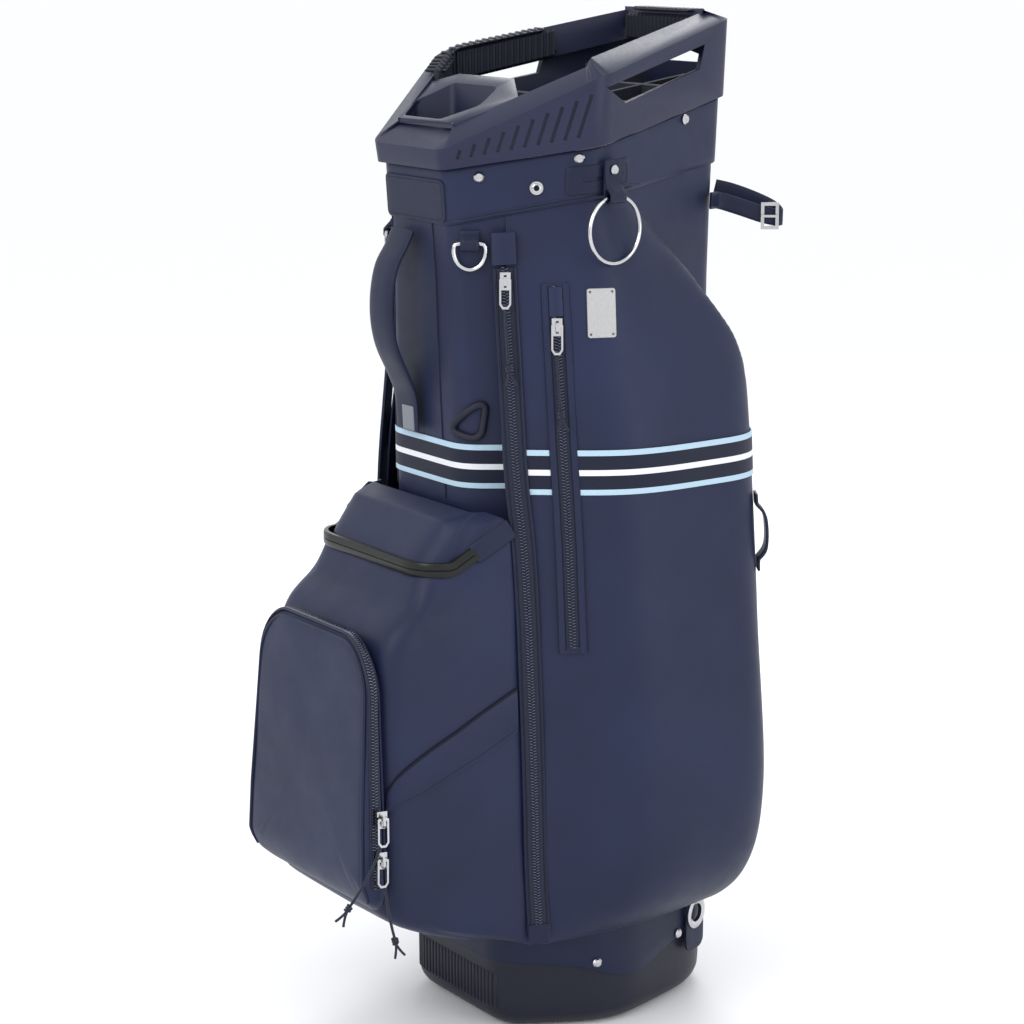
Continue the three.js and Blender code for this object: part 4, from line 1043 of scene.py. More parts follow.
# The ball pocket's zip follows the gusset: up the near side, over the top and down the far side.
GUSSET_SHARE, GUSSET_LIFT = 0.52, 0.0016
ZIP_FLOOR, PIPING_FLOOR = 0.178, 0.160
PIPINGS = (("front", 0.955, 0.0016, -0.0028), ("rear", 0.06, 0.0013, 0.0004))  # name, share, radius, lift


def gusset_line(share, lift, low=ZIP_FLOOR):
    """A line round the gusset above a height, open at the bottom, and the ways that it faces."""
    points = [Vector(p) for p in ball_ring(0.0, share)]
    centre = Vector((0, BALL_BACK, (BALL_LOW + BALL_HIGH) / 2))
    kept, outs = [], []
    count = len(points)
    for k in range(count):
        ahead = points[(k + 1) % count] - points[k - 1]
        out = Vector((ahead.z, 0, -ahead.x)).normalized()
        if out.dot(points[k] - centre) < 0:
            out = -out
        if points[k].z > low:
            kept.append(points[k] + out * lift)
            outs.append(out)
    start = max(range(len(kept)), key=lambda k: (kept[k] - kept[k - 1]).length)
    kept, outs = kept[start:] + kept[:start], outs[start:] + outs[:start]
    return np.array(kept, float), averaged(outs, 2)


ball_line, ball_outs = gusset_line(GUSSET_SHARE, GUSSET_LIFT)
zip_strip("ball_zip_tape", ball_line, ball_outs, BALL_TAPE, "ball_zip")
for mark, share, radius, lift in PIPINGS:
    seam_line, seam_outs = gusset_line(share, lift, PIPING_FLOOR)
    piece(f"ball_piping_{mark}", sweep(seam_line, seam_outs, round_section(radius, 8)), LEATHER_TRIM)

row("zip_teeth", teeth_runs, TOOTH_SHAPE, TOOTH_SPACING, DARK_METAL, slot="zip_tape")

# %% [markdown]
# A folded flap of leather, the garage, covers the top end of each zip, and a square tab closes the bottom of
# the long one. The short zip lies in a window: a raised leather frame, stitched all round.

# %% Garages, tabs and the short zip's window


def cut_line(line, outs, low, high):
    """The stretch of a line between two heights."""
    keep = (line[:, 2] >= low) & (line[:, 2] <= high)
    return line[keep], outs[keep]


def beyond(line, outs, top, step=STEP):
    """The line carried on straight, up to a height."""
    way = line[-1] - line[-4]
    way /= np.linalg.norm(way)
    extra = np.arange(step, max(step * 2, (top - line[-1][2]) / way[2]), step)
    more = line[-1] + extra[:, None] * way
    return np.vstack([line, more]), np.vstack([outs, np.repeat(outs[-1:], len(more), 0)])


def before(line, outs, bottom):
    more, faces = beyond(line[::-1], outs[::-1], bottom)
    return more[::-1], faces[::-1]


FLAP = mirrored([(0.0108, 0.0), (0.0108, 0.0016), (0.0100, 0.0028), (0.005, 0.0042), (0, 0.0046)])
LONG_FOOT_SIZE, SHORT_FOOT_SIZE = (0.019, 0.0022), (0.0125, 0.0020)
LONG_GARAGE, LONG_FOOT = (0.6955, 0.7275), (0.099, 0.124)  # each from low to high
SHORT_GARAGE, SHORT_FOOT = (0.6525, 0.6815), (0.368, 0.376)
flap_line, flap_outs = cut_line(*beyond(long_line, long_outs, 0.735), *LONG_GARAGE)
piece("long_zip_garage", sweep(flap_line, flap_outs, FLAP), LEATHER)
tab_line, tab_outs = cut_line(*before(long_line, long_outs, LONG_FOOT[0]), *LONG_FOOT)
piece("long_zip_foot", sweep(tab_line, tab_outs, flat_section(*LONG_FOOT_SIZE)), LEATHER_TRIM)

WINDOW_LOW, WINDOW_HIGH = 0.366, 0.6835
WINDOW_HALF = 0.0122
window_line, window_outs = before(*beyond(short_line, short_outs, 0.690), 0.360)
window_line, window_outs = cut_line(window_line, window_outs, WINDOW_LOW, WINDOW_HIGH)
FRAME_SECTION = mirrored([
    (WINDOW_HALF, -0.0022), (WINDOW_HALF, 0.0000), (WINDOW_HALF - 0.0006, 0.0008), (0.0064, 0.0009),
    (0.0057, 0.0003),
])
piece("short_zip_window", sweep(window_line, window_outs, FRAME_SECTION), LEATHER)
NARROW_FLAP = [(a * 0.56, b * 0.8) for a, b in FLAP]
flap_line, flap_outs = cut_line(window_line, window_outs, *SHORT_GARAGE)
piece("short_zip_garage", sweep(flap_line + flap_outs * 0.0006, flap_outs, NARROW_FLAP), LEATHER)
foot_line, foot_outs = cut_line(window_line, window_outs, *SHORT_FOOT)
piece("short_zip_foot", sweep(foot_line, foot_outs, flat_section(*SHORT_FOOT_SIZE)), LEATHER_TRIM)


def beside(line, outs, across, lift):
    """A line shifted sideways on the leather."""
    return line + sideways(line, outs) * across + outs * lift, outs


def crossing(line, outs, index, half, lift):
    """A short stitch run across a line at one of its points."""
    side, out = sideways(line, outs)[index], outs[index]
    run = [line[index] + side * a + out * lift for a in np.linspace(-half, half, 9)]
    return np.array(run), np.tile(out, (len(run), 1))


WINDOW_STITCHES, WINDOW_LIFT = WINDOW_HALF - 0.0016, 0.0007
for hand in (-1, 1):
    stitch_runs.append(beside(window_line, window_outs, hand * WINDOW_STITCHES, WINDOW_LIFT))
for index in (1, -2):
    stitch_runs.append(crossing(window_line, window_outs, index, WINDOW_STITCHES, WINDOW_LIFT))
print("zip window:", len(window_line), "points")

# %% [markdown]
# ## The striped band
# A woven band runs round the bag below the handle. It is sewn under the zips, so it is made in three lengths:
# across the front and over each side pocket. The stripes come from the webbing finish's own UV map.

# %% Striped band
BAND_HIGH, BAND_WIDE, BAND_LIFT = 0.5225, 0.0385, 0.0007
BAND_LEAN = 0.7  # the band lies more upright than the leather under it
BAND = flat_section(BAND_WIDE, 0.0011, 0.0003)


def bearings(low, high, z, step=3):
    return [(b, z) for b in np.linspace(low, high, max(3, int(abs(high - low) / step)))]


def band_piece(name, target, low, high, node):
    points, outs = laid(target, bearings(low, high, BAND_HIGH), from_round, BAND_LIFT, scale=DEGREE)
    outs[:, 2] *= BAND_LEAN
    mesh = sweep(points, unit(outs), BAND, stretch_across=True)
    return piece(name, mesh, STRIPED, replaces=[node], slot="webbing")


band_piece("band_front", BODY, -130.5, -49.5, "stripe_front")
band_piece("band_near", NEAR, -44.4, 44, "stripe_side")
band_piece("band_far", FAR, -135.6, -224, "stripe_far")

# %% [markdown]
# ## The slash pocket and the hood's zip
# On the near side of the lower pocket a broad welt, a folded band of leather, climbs in a curve towards the
# long zip. Its upper edge is the pocket's mouth. The valuables pocket above closes with a sealed zip: two
# smooth black lips that meet in a line, so it is a band with a groove rather than a row of teeth.

# %% Slash welt
WELT_TOP = [
    (-0.236, 0.258), (-0.228, 0.272), (-0.205, 0.288), (-0.176, 0.304), (-0.150, 0.319), (-0.119, 0.3345),
]
WELT_LOW = [
    (-0.238, 0.236), (-0.230, 0.244), (-0.205, 0.253), (-0.173, 0.269), (-0.148, 0.281), (-0.119, 0.2965),
]
WELT_LIFT, WELT_THICK, WELT_STITCHES = 0.0016, 0.0014, 0.003
MOUTH_LIFT, MOUTH_RADIUS = 0.0011, 0.0013


def welt_height(t):
    """How far the welt stands off at a share of the way from its mouth down to its stitched edge."""
    if t >= 0.87:
        return WELT_LIFT * 0.2
    return WELT_LIFT * (0.35 + 0.65 * math.sin(math.pi * min(1.0, t * 1.15)) ** 0.5)


def panel_between(target, upper, lower, cast, across=12):
    """A sheet of leather between two planned lines, laid on a target."""
    tops, lows = curve_through(upper), curve_through(lower)
    count = max(len(tops), len(lows))
    share = np.linspace(0, 1, count)
    tops, lows = (
        np.stack([np.interp(share, np.linspace(0, 1, len(line)), line[:, k]) for k in range(2)], axis=1)
        for line in (tops, lows)
    )
    grid = bmesh.new()
    rows = []
    for t in np.linspace(0, 1, across):
        ring = []
        for a, b in zip(tops, lows):
            place, out, _, _ = target.ray_cast(*cast(*(a * (1 - t) + b * t)))
            ring.append(grid.verts.new(place + out * welt_height(t)))
        rows.append(ring)
    for above, below in zip(rows, rows[1:]):
        for k in range(count - 1):
            grid.faces.new([above[k], below[k], below[k + 1], above[k + 1]])
    if sum(face.normal.x for face in grid.faces) < 0:
        bmesh.ops.reverse_faces(grid, faces=grid.faces)
    mesh = mesh_from(grid, "panel")
    return applied(mesh, ("SOLIDIFY", {"thickness": WELT_THICK, "offset": 0.6}))


welt_mesh = panel_between(LOWER, WELT_TOP, WELT_LOW, from_side)
welt = piece("slash_welt", welt_mesh, LEATHER, replaces=["slash_panel"], slot="coated_leather")
mouth_line, mouth_outs = laid(LOWER, WELT_TOP, from_side, MOUTH_LIFT)
# A near-black cord along the mouth: painted shadow inside the opening.
piece("slash_mouth", sweep(mouth_line, mouth_outs, round_section(MOUTH_RADIUS, 8)), SHADOW)
welt_stitches = [(y, z + WELT_STITCHES) for y, z in WELT_LOW]
stitch_runs.append(laid(surface(welt), welt_stitches, from_side, STITCH_LIFT))

# %% Sealed zip of the valuables pocket
SEAL_WIDE = 0.0122
SEAL_ENDS = -0.150
SEAL_PIVOT = 0.115


def node_band(node):
    """The middle line of a band that runs round the front, and the ways it faces."""
    points = np.array([v.co for v in NODES[node].data.vertices])
    bearing = np.degrees(np.arctan2(points[:, 1] + SEAL_PIVOT, points[:, 0]))
    line, outs = [], []
    tree = surface(NODES[node])
    for b in np.arange(bearing.min(), bearing.max(), 0.5):
        hits = []
        way = level(b)
        for z in np.arange(points[:, 2].min(), points[:, 2].max(), 0.001):
            place, out, _, _ = tree.ray_cast(Vector((0, -SEAL_PIVOT, z)) + way * FAR_OUT, -way)
            if place and abs(out.z) < 0.8:
                hits.append((place, out))
        if hits:
            line.append(sum((p for p, _ in hits), Vector()) / len(hits))
            outs.append(sum((o for _, o in hits), Vector()).normalized())
    line = [Vector(p) + settled(Vector(p)) for p in averaged(line, 5)]
    outs = averaged(outs, 8)
    line = averaged(spaced(np.array(line), STEP), 3)
    share = np.linspace(0, 1, len(outs))
    at = np.linspace(0, 1, len(line))
    outs = np.stack([np.interp(at, share, outs[:, k]) for k in range(3)], axis=1)
    return line, unit(outs)


band_line, band_outs = node_band("valuables_zip")
sealed = band_line[:, 1] < SEAL_ENDS
seal_line, seal_outs = band_line[sealed], band_outs[sealed]
HALF_SEAL = SEAL_WIDE / 2
SEAL = mirrored([
    (HALF_SEAL, -0.003), (HALF_SEAL, 0.0004), (HALF_SEAL - 0.0014, 0.0012), (0.0007, 0.0013),
    (0.0002, 0.0005),
])
seal = sweep(seal_line, seal_outs, SEAL)
piece("valuables_seal", seal, BLACK_FILM, replaces=["valuables_zip"], slot="zip_tape")
print("seal:", len(seal_line), "points")

# Behind the seal's ends the hood is simply sewn down, with a strip of leather over the seam.
HOOD_SEAM, HOOD_SEAM_SUNK, HOOD_SEAM_OVER = flat_section(0.018, 0.0026), 0.0016, 0.004
for mark, side in (("near", 1), ("far", -1)):
    sewn = (band_line[:, 1] > SEAL_ENDS - HOOD_SEAM_OVER) & (band_line[:, 0] * side > 0)
    strip = sweep(band_line[sewn] - band_outs[sewn] * HOOD_SEAM_SUNK, band_outs[sewn], HOOD_SEAM)
    piece(f"hood_seam_{mark}", strip, LEATHER_TRIM)

# %% [markdown]
# ## Collar, patches and seams
# The collar is a hemmed band. A line of stitches follows its lower edge, and a fine bead runs along that edge
# below the stitches. The towel ring's backing patch is outlined by its own stitches.

# %% Collar hem and beads


def collar_low(bearing):
    """The lowest height at which the collar is hit at a bearing."""
    for z in np.arange(0.722, 0.80, 0.0006):
        place, out, _, _ = COLLAR.ray_cast(*from_round(bearing, z))
        if place and abs(out.z) < 0.6:
            return z
    return None


hem_heights = [(b, collar_low(b)) for b in np.arange(-180, 180, 4.0)]
hem_plan = [(b, z) for b, z in hem_heights if z]
hem_plan.append((180.0, hem_plan[0][1]))
HEM_STITCHES, BEAD_UP, BEAD_RADIUS = 0.0050, 0.0016, 0.0015
hem_stitches = [(b, z + HEM_STITCHES) for b, z in hem_plan]
stitch_runs.append(laid(COLLAR, hem_stitches, from_round, STITCH_LIFT, scale=DEGREE))
bead_plan = [(b, z + BEAD_UP) for b, z in hem_plan]
bead_points, bead_outs = laid(COLLAR, bead_plan, from_round, -0.0003, scale=DEGREE)
piece("collar_bead", sweep(bead_points, bead_outs, round_section(BEAD_RADIUS, 8)), LEATHER_TRIM)

# %% [markdown]
# The panel seams of the body are cords of leather, piping, sewn between two panels. They stand a little proud
# and catch a thin line of light. The two front seams are drawn in a much darker copy of the leather, which is
# painted shade along their grooves.

# %% Piping


def piping(name, target, plan, cast, radius, material=LEATHER_TRIM, scale=1.0):
    points, outs = laid(target, plan, cast, scale=scale)
    piece(name, sweep(points, outs, round_section(radius, 8)), material)


BODY_AND_POCKETS = surface(body, *side_pockets)
BINDING_RADIUS, SEAM_RADIUS = 0.0048, 0.0011
BINDING_Z = (0.560, 0.45, 0.33, 0.22, 0.102)
COVER_Z, COVER_SUNK, COVER = (0.104, 0.70), 0.001, flat_section(0.017, 0.0028)
FRONT_SEAM = [(0.019, 0.735), (0.023, 0.64), (0.026, 0.545), (0.028, 0.49)]
FRONT_SEAM_SHIFT = -0.026  # the far seam mirrors the near one about the middle of the handle
SPINE_Z, SPINE_STITCHES = (0.765, 0.70, 0.60, 0.45, 0.30, 0.115), 2.4
for name, bearing in (("near", 60.0), ("far", 120.0)):  # closes the gap behind each side pocket
    edge = [(bearing, z) for z in BINDING_Z]
    piping(f"rear_binding_{name}", BODY, edge, from_round, BINDING_RADIUS, scale=TALL)
mirror = np.array([-1, 1, 1])
cover_line, cover_outs = cut_line(long_line, long_outs, *COVER_Z)
cover = sweep((cover_line - cover_outs * COVER_SUNK) * mirror, cover_outs * mirror, COVER)
piece("far_front_binding", cover, LEATHER_TRIM)
for side in (1, -1):
    seam = [(x if side > 0 else FRONT_SEAM_SHIFT - x, z) for x, z in FRONT_SEAM]
    name = f"front_seam_{'near' if side > 0 else 'far'}"
    # The front seams take the much darker leather, painted shade in their grooves.
    piping(name, BODY_AND_POCKETS, seam, from_front, SEAM_RADIUS, SEAM_SHADE_LEATHER)
for bearing in (70, 110):
    spine = [(bearing, z) for z in SPINE_Z]
    name = f"spine_seam_{'near' if bearing < 90 else 'far'}"
    piping(name, BODY_AND_POCKETS, spine, from_round, SEAM_RADIUS, scale=TALL)
    spine_stitches = [(b + SPINE_STITCHES, z) for b, z in spine]
    stitch_runs.append(laid(BODY_AND_POCKETS, spine_stitches, from_round, STITCH_LIFT))


# %% [markdown]
# ## Patches, plates and studs
# A patch is a rounded outline laid on its panel, closed by rings that shrink towards its middle. The list of
# (inset, height) pairs is its profile, so one function makes the glued rubber badge, the stitched backing of
# the towel ring, the screwed metal plate and the woven label.

# %% Patches
PATCH_AROUND = 96


def rounded_box(width, height, radius, inset=0.0, per_corner=9):
    """Points round a rounded rectangle, from the middle of its lower edge, right side first."""
    w, h = width / 2 - inset, height / 2 - inset
    r = min(max(radius - inset, 0.0003), w, h)
    line = [(0.0, -h)]
    for sx, sy, start in ((1, -1, -90), (1, 1, 0), (-1, 1, 90), (-1, -1, 180)):
        for t in np.linspace(start, start + 90, per_corner):
            angle = math.radians(t)
            line.append((sx * (w - r) + r * math.cos(angle), sy * (h - r) + r * math.sin(angle)))
    return resampled(np.array(line + [line[0]]), PATCH_AROUND + 1)[:-1]


def patch(name, put, size, radius, profile, material, **options):
    """A patch whose outline (u, v) is placed by put(u, v), which gives a point and the way out."""
    mesh = bmesh.new()
    loops = []
    half = min(size) / 2
    last, height = profile[-1]
    fill = [(half * share, height) for share in (0.3, 0.6, 0.85) if half * share > last + 0.0005]
    for inset, lift in [(profile[0][0], -0.0012), *profile, *fill]:
        loop = []
        for u, v in rounded_box(*size, radius, inset):
            place, out = put(u, v)
            loop.append(mesh.verts.new(Vector(place) + Vector(out) * lift))
        loops.append(loop)
    return piece(name, mesh_from(skinned(mesh, loops, strips=True), name), material, **options)


def on_surface(target, cast, slope=0.0):
    """put() for a patch whose (u, v) is in metres of the cast's own plan, about a middle point."""
    def put(u, v):
        place, out, _, _ = target.ray_cast(*cast(u, v + slope * u))
        return place, out
    return put


def on_plane(middle, side, up):
    out = Vector(side).cross(Vector(up))
    return lambda u, v: (Vector(middle) + Vector(side) * u + Vector(up) * v, out)


BADGE_X, BADGE_Z = -0.0015, 0.7495
BADGE_SIZE, BADGE_ROUND = (0.091, 0.037), 0.006
BADGE_PROFILE = [
    (0, 0.0002), (0.0001, 0.0012), (0.0006, 0.0016), (0.0019, 0.0016), (0.0023, 0.0011), (0.0028, 0.0011),
    (0.0032, 0.0015),
]
patch(
    "front_badge", on_surface(COLLAR, lambda u, v: from_front(BADGE_X + u, BADGE_Z + v)),
    BADGE_SIZE, BADGE_ROUND, BADGE_PROFILE, PATCH_RUBBER, replaces=["front_patch"], slot="patch_rubber",
)
RING_Y, RING_Z, RING_SLOPE = -0.0335, 0.7705, 0.100
BACKING_SIZE, BACKING_ROUND, BACKING_HEM = (0.062, 0.024), 0.0035, 0.0028
BACKING_PROFILE = [(0, 0.0002), (0.0001, 0.0010), (0.0006, 0.0014)]
backing = patch(
    "ring_backing", on_surface(COLLAR, lambda u, v: from_side(RING_Y + u, RING_Z + v), RING_SLOPE),
    BACKING_SIZE, BACKING_ROUND, BACKING_PROFILE,
    LEATHER_TRIM, replaces=["ring_patch"], slot="coated_leather",
)
ring_stitches = rounded_box(*BACKING_SIZE, BACKING_ROUND, BACKING_HEM)
ring_plan = [(RING_Y + u, RING_Z + v + RING_SLOPE * u) for u, v in [*ring_stitches[::3], ring_stitches[0]]]
stitch_runs.append(laid(surface(backing), ring_plan, from_side, 0.0001))

# %% Plate, label and studs


def flat_frame(node):
    """The middle, side, up and out of a flat CAD plate that stands up."""
    points = np.array([v.co for v in NODES[node].data.vertices])
    middle = points.mean(axis=0)
    out = np.linalg.svd(points - middle)[2][2]
    out = Vector(out * (1 if out @ np.array([*middle[:2], 0]) > 0 else -1))
    side = Vector((0, 0, 1)).cross(out).normalized()
    return Vector(middle), side, out.cross(side), out


def turned(name, middle, out, profile, material, sides=32, **options):
    """A turned piece about the line through middle along out, from (radius, height) pairs on its outline."""
    out = Vector(out).normalized()
    side = out.orthogonal().normalized()
    up = out.cross(side)
    mesh = bmesh.new()
    loops = []
    for radius, height in profile:
        centre = Vector(middle) + out * height
        ring = [centre + (side * math.cos(t) + up * math.sin(t)) * radius for t in turns(sides)]
        loops.append([mesh.verts.new(place) for place in ring])
    return piece(name, mesh_from(skinned(mesh, loops), name), material, **options)


plate_middle, plate_side, plate_up, plate_out = flat_frame("name_plate")
PLATE_SIZE, PLATE_ROUND = (0.025, 0.042), 0.0022
PLATE_PROFILE = [(0, -0.0006), (0, 0.0003), (0.0003, 0.0006)]
patch(
    "metal_plate", on_plane(plate_middle, plate_side, plate_up), PLATE_SIZE, PLATE_ROUND, PLATE_PROFILE,
    BRUSHED, replaces=["name_plate"], slot="brushed_plate",
)
SCREW = [
    (0.0001, -0.0004), (0.00105, -0.0004), (0.00105, 0.0003), (0.0008, 0.0006), (0.0004, 0.00065),
    (0.0003, 0.0003), (0.0001, 0.0003),
]
SCREW_SIDE, SCREW_UP, SCREW_OUT = 0.0097, 0.0180, 0.0006
for corner, (a, b) in enumerate(((1, 1), (1, -1), (-1, 1), (-1, -1))):
    spot = plate_middle + plate_side * a * SCREW_SIDE + plate_up * b * SCREW_UP + plate_out * SCREW_OUT
    turned(f"plate_screw_{corner + 1}", spot, plate_out, SCREW, DARK_METAL, 12)

snap_middle, _, _, snap_out = flat_frame("snap_socket")
SNAP = [
    (0.0001, -0.0011), (0.0062, -0.0011), (0.0062, -0.0003), (0.0056, 0.0004), (0.0042, 0.0006),
    (0.0038, 0.0016), (0.0030, 0.0019), (0.0024, 0.0014), (0.0021, -0.0004), (0.0001, -0.0005),
]
SNAP_HOLE = [(0.0001, 0), (0.0021, 0), (0.0021, 0.0003), (0.0001, 0.0003)]
turned("snap", snap_middle, snap_out, SNAP, NICKEL, replaces=["snap_socket"], slot="nickel")
# A near-black disc in the socket: painted shadow in its hole.
turned("snap_hole", snap_middle - snap_out * 0.0004, snap_out, SNAP_HOLE, SHADOW, 20)
STUD = [
    (0.0001, -0.001), (0.0046, -0.001), (0.0046, 0.0004), (0.0040, 0.0014), (0.0026, 0.0020),
    (0.0001, 0.0022),
]
FAR_STUDS = [(242.7, 0.771), (205.6, 0.787)]  # bearing and height
for number, (bearing, z) in enumerate(FAR_STUDS):
    place, out, _, _ = COLLAR.ray_cast(*from_round(bearing, z))
    turned(f"far_stud_{number + 1}", place, out, STUD, NICKEL, 24)
print("patches and studs ready")

# %% [markdown]
# ## Towel ring
# The towel ring is a bent and welded round wire. It hangs from its tab by its own top, so it is drawn here a
# little finer than its solid, about the point that it swings on.

# %% Towel ring
RING_SCALE = 0.88
ring_low, ring_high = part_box("towel_ring")
ring_top = Vector(((ring_low.x + ring_high.x) / 2, (ring_low.y + ring_high.y) / 2, ring_high.z))
ring_mesh = moved(smoothed("towel_ring", 2), lambda point: (ring_top - point) * (1 - RING_SCALE))
piece("hanging_ring", ring_mesh, NICKEL, body="towel_ring_body", replaces=["towel_ring"], slot="nickel")

# %% [markdown]
# ## Carry handle and glove loop
# The handle is a broad padded strap: a flat core wrapped in leather and thinned where it is sewn down. The
# glove loop is a thick rubber wire bent into a triangle and sewn flat on the panel.

# %% Handle and loop
HANDLE_MIDDLE = -0.0158
HANDLE_WIDER = 1.36


def widened(point):
    return Vector(((point.x - HANDLE_MIDDLE) * (HANDLE_WIDER - 1), 0, 0))


handle_mesh = moved(smoothed("grab_handle", 2), widened)
handle = piece("handle", handle_mesh, LEATHER_TRIM, replaces=["grab_handle"], slot="coated_leather")
LABEL_X, LABEL_Z = HANDLE_MIDDLE + 0.004, 0.5565
LABEL_SIZE, LABEL_ROUND = (0.017, 0.022), 0.0008
LABEL_PROFILE = [(0, 0.0002), (0.0001, 0.0006), (0.0003, 0.0008)]
patch(
    "woven_label", on_surface(surface(handle), lambda u, v: from_front(LABEL_X + u, LABEL_Z + v)), LABEL_SIZE,
    LABEL_ROUND, LABEL_PROFILE, LABEL_CLOTH, sharp=math.radians(60),
)
LOOP_CORNERS = [(0.0665, 0.5815), (0.0405, 0.5535), (0.0640, 0.5455)]
LOOP_ROUND = 0.30
loop_plan = []
for k, corner in enumerate(LOOP_CORNERS):
    before_it, after_it = np.array(LOOP_CORNERS[k - 1]), np.array(LOOP_CORNERS[(k + 1) % 3])
    corner = np.array(corner)
    ends = [corner * (1 - LOOP_ROUND) + other * LOOP_ROUND for other in (before_it, after_it)]
    for t in np.linspace(0, 1, 9):
        loop_plan.append(ends[0] * (1 - t) ** 2 + corner * 2 * t * (1 - t) + ends[1] * t * t)
LOOP_WIRE = 0.0030
loop_line, loop_outs = [], []
for x, z in spaced(np.array(loop_plan + [loop_plan[0]]), 0.002)[:-1]:
    place, out, _, _ = BODY_AND_POCKETS.ray_cast(*from_front(x, z))
    loop_line.append(place + out * LOOP_WIRE * 0.75)
    loop_outs.append(out)
LOOP_SECTION = [(a * 1.15, b) for a, b in round_section(LOOP_WIRE, 12)]
loop_mesh = sweep(loop_line, loop_outs, LOOP_SECTION, closed=True)
piece("glove_loop", loop_mesh, LOOP_RUBBER, replaces=["triangle_loop"], slot="patch_rubber")

# %% [markdown]
# ## Zip cords
# A short braided cord hangs from each pull and ends in a knot with two cut tails. The knot stays with the
# slider.

# %% Cords and knots
CORD_RADIUS, CORD_DROP = 0.00125, 0.046
PULL_LENGTH, CORD_GAP = 0.025, 0.0003
CORD_OUT, CORD_STEP = 0.002, 0.0022
CORD_HANGS = {  # how far the end hangs to the side, and where along the pull the cord starts
    "long_zip": (0.003, 0),
    "short_zip": (0.003, 0),
    "ball_zip_upper": (-0.028, -0.0035),
    "ball_zip_lower": (0.008, 0.002),
}
JOINTS = {joint["name"]: joint for joint in frame["record"]["behaviour"]["joints"]}
KNOT_COIL, KNOT_TURNS, KNOT_LONG = 0.0021, 2.2, 0.0052
KNOT_STRAND = 0.00115
TAIL = 0.013
STEADY = (0.61, 0.37, 0.70)  # a direction that no cord runs along


def pull_frame(zip_name):
    """The hinge of a zip's pull, the way along its pin, and the way up its zip, from the frame's joints."""
    swing, slide = JOINTS[f"{zip_name}_pull_swing"], JOINTS[f"{zip_name}_slide"]
    along = np.array(slide["axis"], float)
    return np.array(swing["pos_m"], float), -np.array(swing["axis"], float), along * np.sign(along[2])


def joined(*meshes):
    whole = bmesh.new()
    for mesh in meshes:
        whole.from_mesh(mesh)
        bpy.data.meshes.remove(mesh)
    return mesh_from(whole, "joined")


def round_tube(points, radius, sides=10):
    """A round tube through points."""
    points = np.array(points, float)
    ahead = unit(np.gradient(points, axis=0))
    steady = np.array(STEADY if abs(ahead[0] @ np.array(STEADY)) < 0.9 else (1, 0, 0))
    outs = [steady - way * (way @ steady) for way in ahead]
    return sweep(points, outs, round_section(radius, sides))


for zip_name, (swing, shift) in CORD_HANGS.items():
    hinge, side, up = pull_frame(zip_name)
    out = np.cross(side, up)
    start = hinge - up * (PULL_LENGTH + CORD_RADIUS + CORD_GAP) + side * shift
    sway = side * swing + out * CORD_OUT
    knots = [start - up * CORD_DROP * t + sway * t * (0.6 + 0.4 * t) for t in (0, 0.3, 0.65, 1)]
    line = curve_through(knots, CORD_STEP)
    mesh = round_tube(line, CORD_RADIUS)
    mesh.materials.append(CORD_BRAID)
    mesh.shade_smooth()
    cord = added(f"{zip_name}_hanging_cord", mesh)
    body_name, slider_name = f"{zip_name}_pull_body", f"{zip_name}_slider_body"
    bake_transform(cord)
    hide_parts(f"{zip_name}_cord")
    ahead = (line[-1] - line[-2]) / np.linalg.norm(line[-1] - line[-2])
    across = np.cross(ahead, out)
    across /= np.linalg.norm(across)
    depth = np.cross(ahead, across)
    middle = line[-1] + ahead * 0.0022
    coil = []
    for share in np.linspace(0, 1, 40):
        t = share * math.tau * KNOT_TURNS
        wound = (across * math.cos(t) + depth * math.sin(t)) * KNOT_COIL
        coil.append(middle + wound + ahead * (share - 0.5) * KNOT_LONG)
    core = [middle + ahead * a for a in np.linspace(-0.003, 0.003, 5)]
    tails = []
    for lean in (0.0020, -0.0026):
        root = middle + out * 0.0004
        along = np.linspace(0, 1, 7)
        tails.append([root + ahead * (0.002 + TAIL * t) + across * lean * t * (1 + t) for t in along])
    knot = joined(*(round_tube(points, KNOT_STRAND, 8) for points in (coil, core, *tails)))
    piece(f"{zip_name}_knot", knot, CORD_BRAID, body=slider_name, slot="cord")

# %% [markdown]
# ## Base ribs
# The flat front of the base is ribbed: a row of upright bars moulded side by side.

# %% Base ribs
RIB_PITCH, RIB_RADIUS, RIB_LOW, RIB_HIGH = 0.0052, 0.0019, 0.018, 0.052
BASE = surface(base)
rib_half = (RIB_HIGH - RIB_LOW) / 2
rib_mesh = upended(rod(rib_half, RIB_RADIUS, 0.0006, 0.002, 8, 0.75))
RIB_SHAPE = stamp("rib", mesh_from(rib_mesh, "rib"))
rib_run = laid(BASE, [(-0.064, 0.036), (0.0, 0.036), (0.062, 0.036)], from_front, -0.0002)
row("base_ribs", [rib_run], RIB_SHAPE, RIB_PITCH, BASE_PLASTIC, slot="moulded_base")

# %% [markdown]
# ## Rail grips
# Black rubber is moulded over the far rail and the rear one: a thin sleeve with ribs across it, so that a wet
# hand does not slip along the rail.

# %% Rail grips
GRIP_WIDE, GRIP_THICK, GRIP_SUNK = 0.0205, 0.0010, 0.0004
GRIP_PITCH, GRIP_RIB = 0.0062, 0.0021
TOP = surface(top)


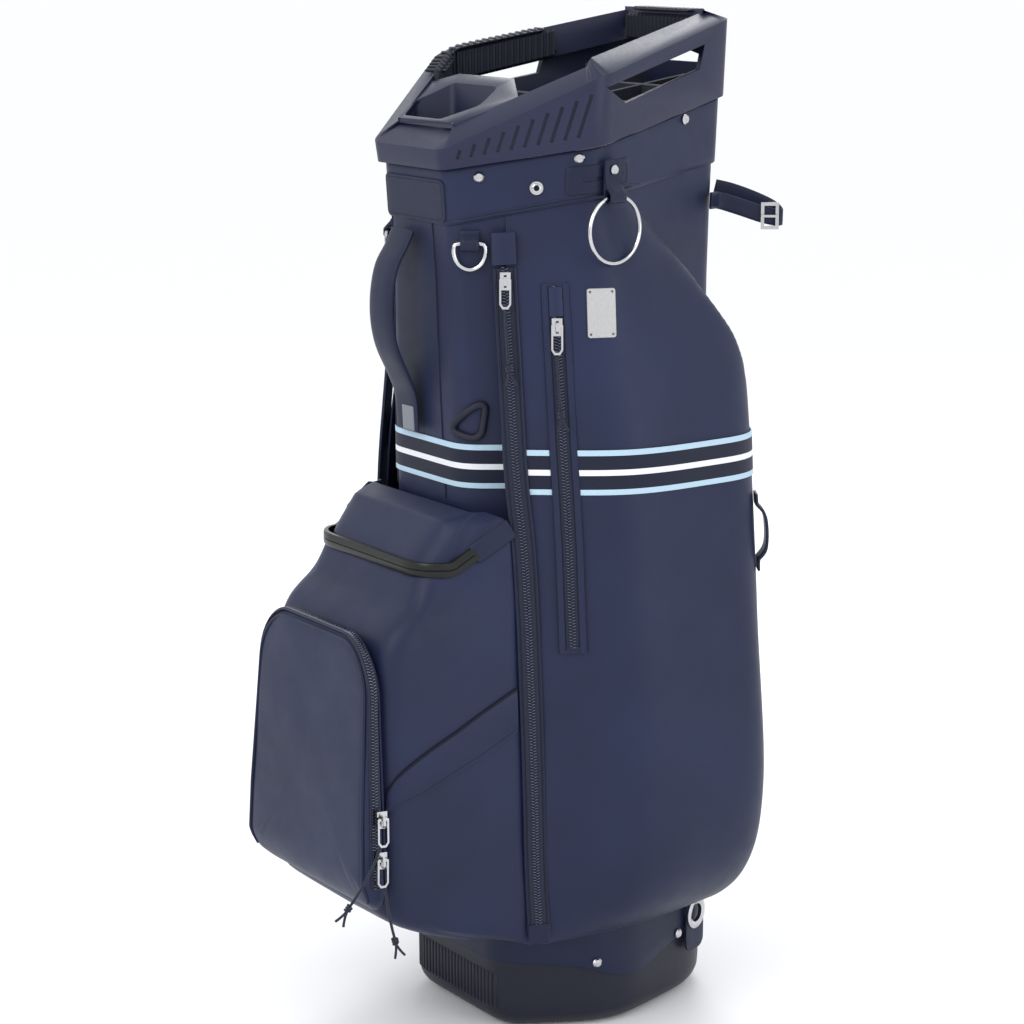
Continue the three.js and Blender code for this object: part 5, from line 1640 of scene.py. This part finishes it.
def rail_line(low, high):
    """The middle of the rail's top face between two bearings."""
    line = []
    for b in np.arange(low, high, 2.0):
        way = level(b)
        hits = []
        for reach in np.arange(0.05, 0.17, 0.001):
            place, out, _, _ = TOP.ray_cast(way * reach + Vector((0, 0, 1.2)), Vector((0, 0, -1)))
            if place and out.z > 0.8 and place.z > 0.80:
                hits.append(place)
        if hits:
            peak = max(p.z for p in hits)
            flat = [p for p in hits if p.z > peak - 0.0025]
            line.append(sum(flat, Vector()) / len(flat))
    line = averaged(spaced(averaged(line, 1), STEP), 3)
    return line, np.tile([0.0, 0.0, 1.0], (len(line), 1))


grip_bar = upended(rod(GRIP_WIDE / 2, GRIP_RIB, 0.0006, 0.002, 8, 0.8))
GRIP_SHAPE = stamp("grip_rib", mesh_from(grip_bar, "grip_rib"))
grip_runs = []
for mark, low, high in (("far", 152, 216), ("rear", 72, 108)):
    line, outs = rail_line(low, high)
    sleeve = sweep(line - outs * GRIP_SUNK, outs, flat_section(GRIP_WIDE, GRIP_THICK))
    piece(f"grip_sleeve_{mark}", sleeve, GRIP_RUBBER)
    grip_runs.append((line + outs * GRIP_SUNK, outs))
row("grip_ribs", grip_runs, GRIP_SHAPE, GRIP_PITCH, GRIP_RUBBER, slot="grip_rubber")

# %% Stitching
row("stitching", stitch_runs, STITCH_SHAPE, STITCH_SPACING, THREAD)

# %% [markdown]
# ## Floor and light
# A pale, endless floor and a pale sky give the soft wrap of a studio cove. One broad lamp stands high
# on the camera's left and a weaker one fills the right, so the leather's sheen shows where panels turn.

# %% Floor and lamps
FLOOR_HALF = 60.0
corners = [(a * FLOOR_HALF, b * FLOOR_HALF, 0) for a, b in ((-1, -1), (1, -1), (1, 1), (-1, 1))]
floor_mesh = bpy.data.meshes.new("floor")
floor_mesh.from_pydata(corners, [], [(0, 1, 2, 3)])
pale = Finish("pale_floor", 0.7)
pale.shader.inputs["Base Color"].default_value = (0.86, 0.86, 0.87, 1)
floor_mesh.materials.append(pale.material)
floor = added("floor", floor_mesh)
floor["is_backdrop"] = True

sky = bpy.data.worlds.new("pale_sky")
sky.use_nodes = True
sky.node_tree.nodes["Background"].inputs["Color"].default_value = (0.97, 0.98, 1.0, 1)
sky.node_tree.nodes["Background"].inputs["Strength"].default_value = 1.16
bpy.context.scene.world = sky


def lamp(name, place, aim, size, watts):
    data = bpy.data.lights.new(name, "AREA")
    data.shape = "RECTANGLE"
    data.size, data.size_y = size
    data.energy = watts
    obj = added(name, data)
    obj.location = place
    obj.rotation_euler = (Vector(aim) - Vector(place)).to_track_quat("-Z", "Y").to_euler()


AIM = (0, -0.05, 0.5)
lamp("key", (0.7, -2.3, 2.0), AIM, (1.2, 1.8), 22)
lamp("fill", (2.6, 0.6, 1.2), AIM, (1.0, 2.2), 14)
lamp("rim", (-1.6, 1.4, 2.2), AIM, (1.0, 1.6), 24)
bpy.context.scene.view_settings.view_transform = "Standard"

# %% [markdown]
# ## Sizes and the last line
# The finished bag stays within the frame's box, apart from the little that soft leather stands proud.

# %% Measure and finish
for shape in STAMPS:
    bpy.data.objects.remove(shape)
low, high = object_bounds()
print("dressed box:", [round(v, 4) for corner in (low, high) for v in corner])
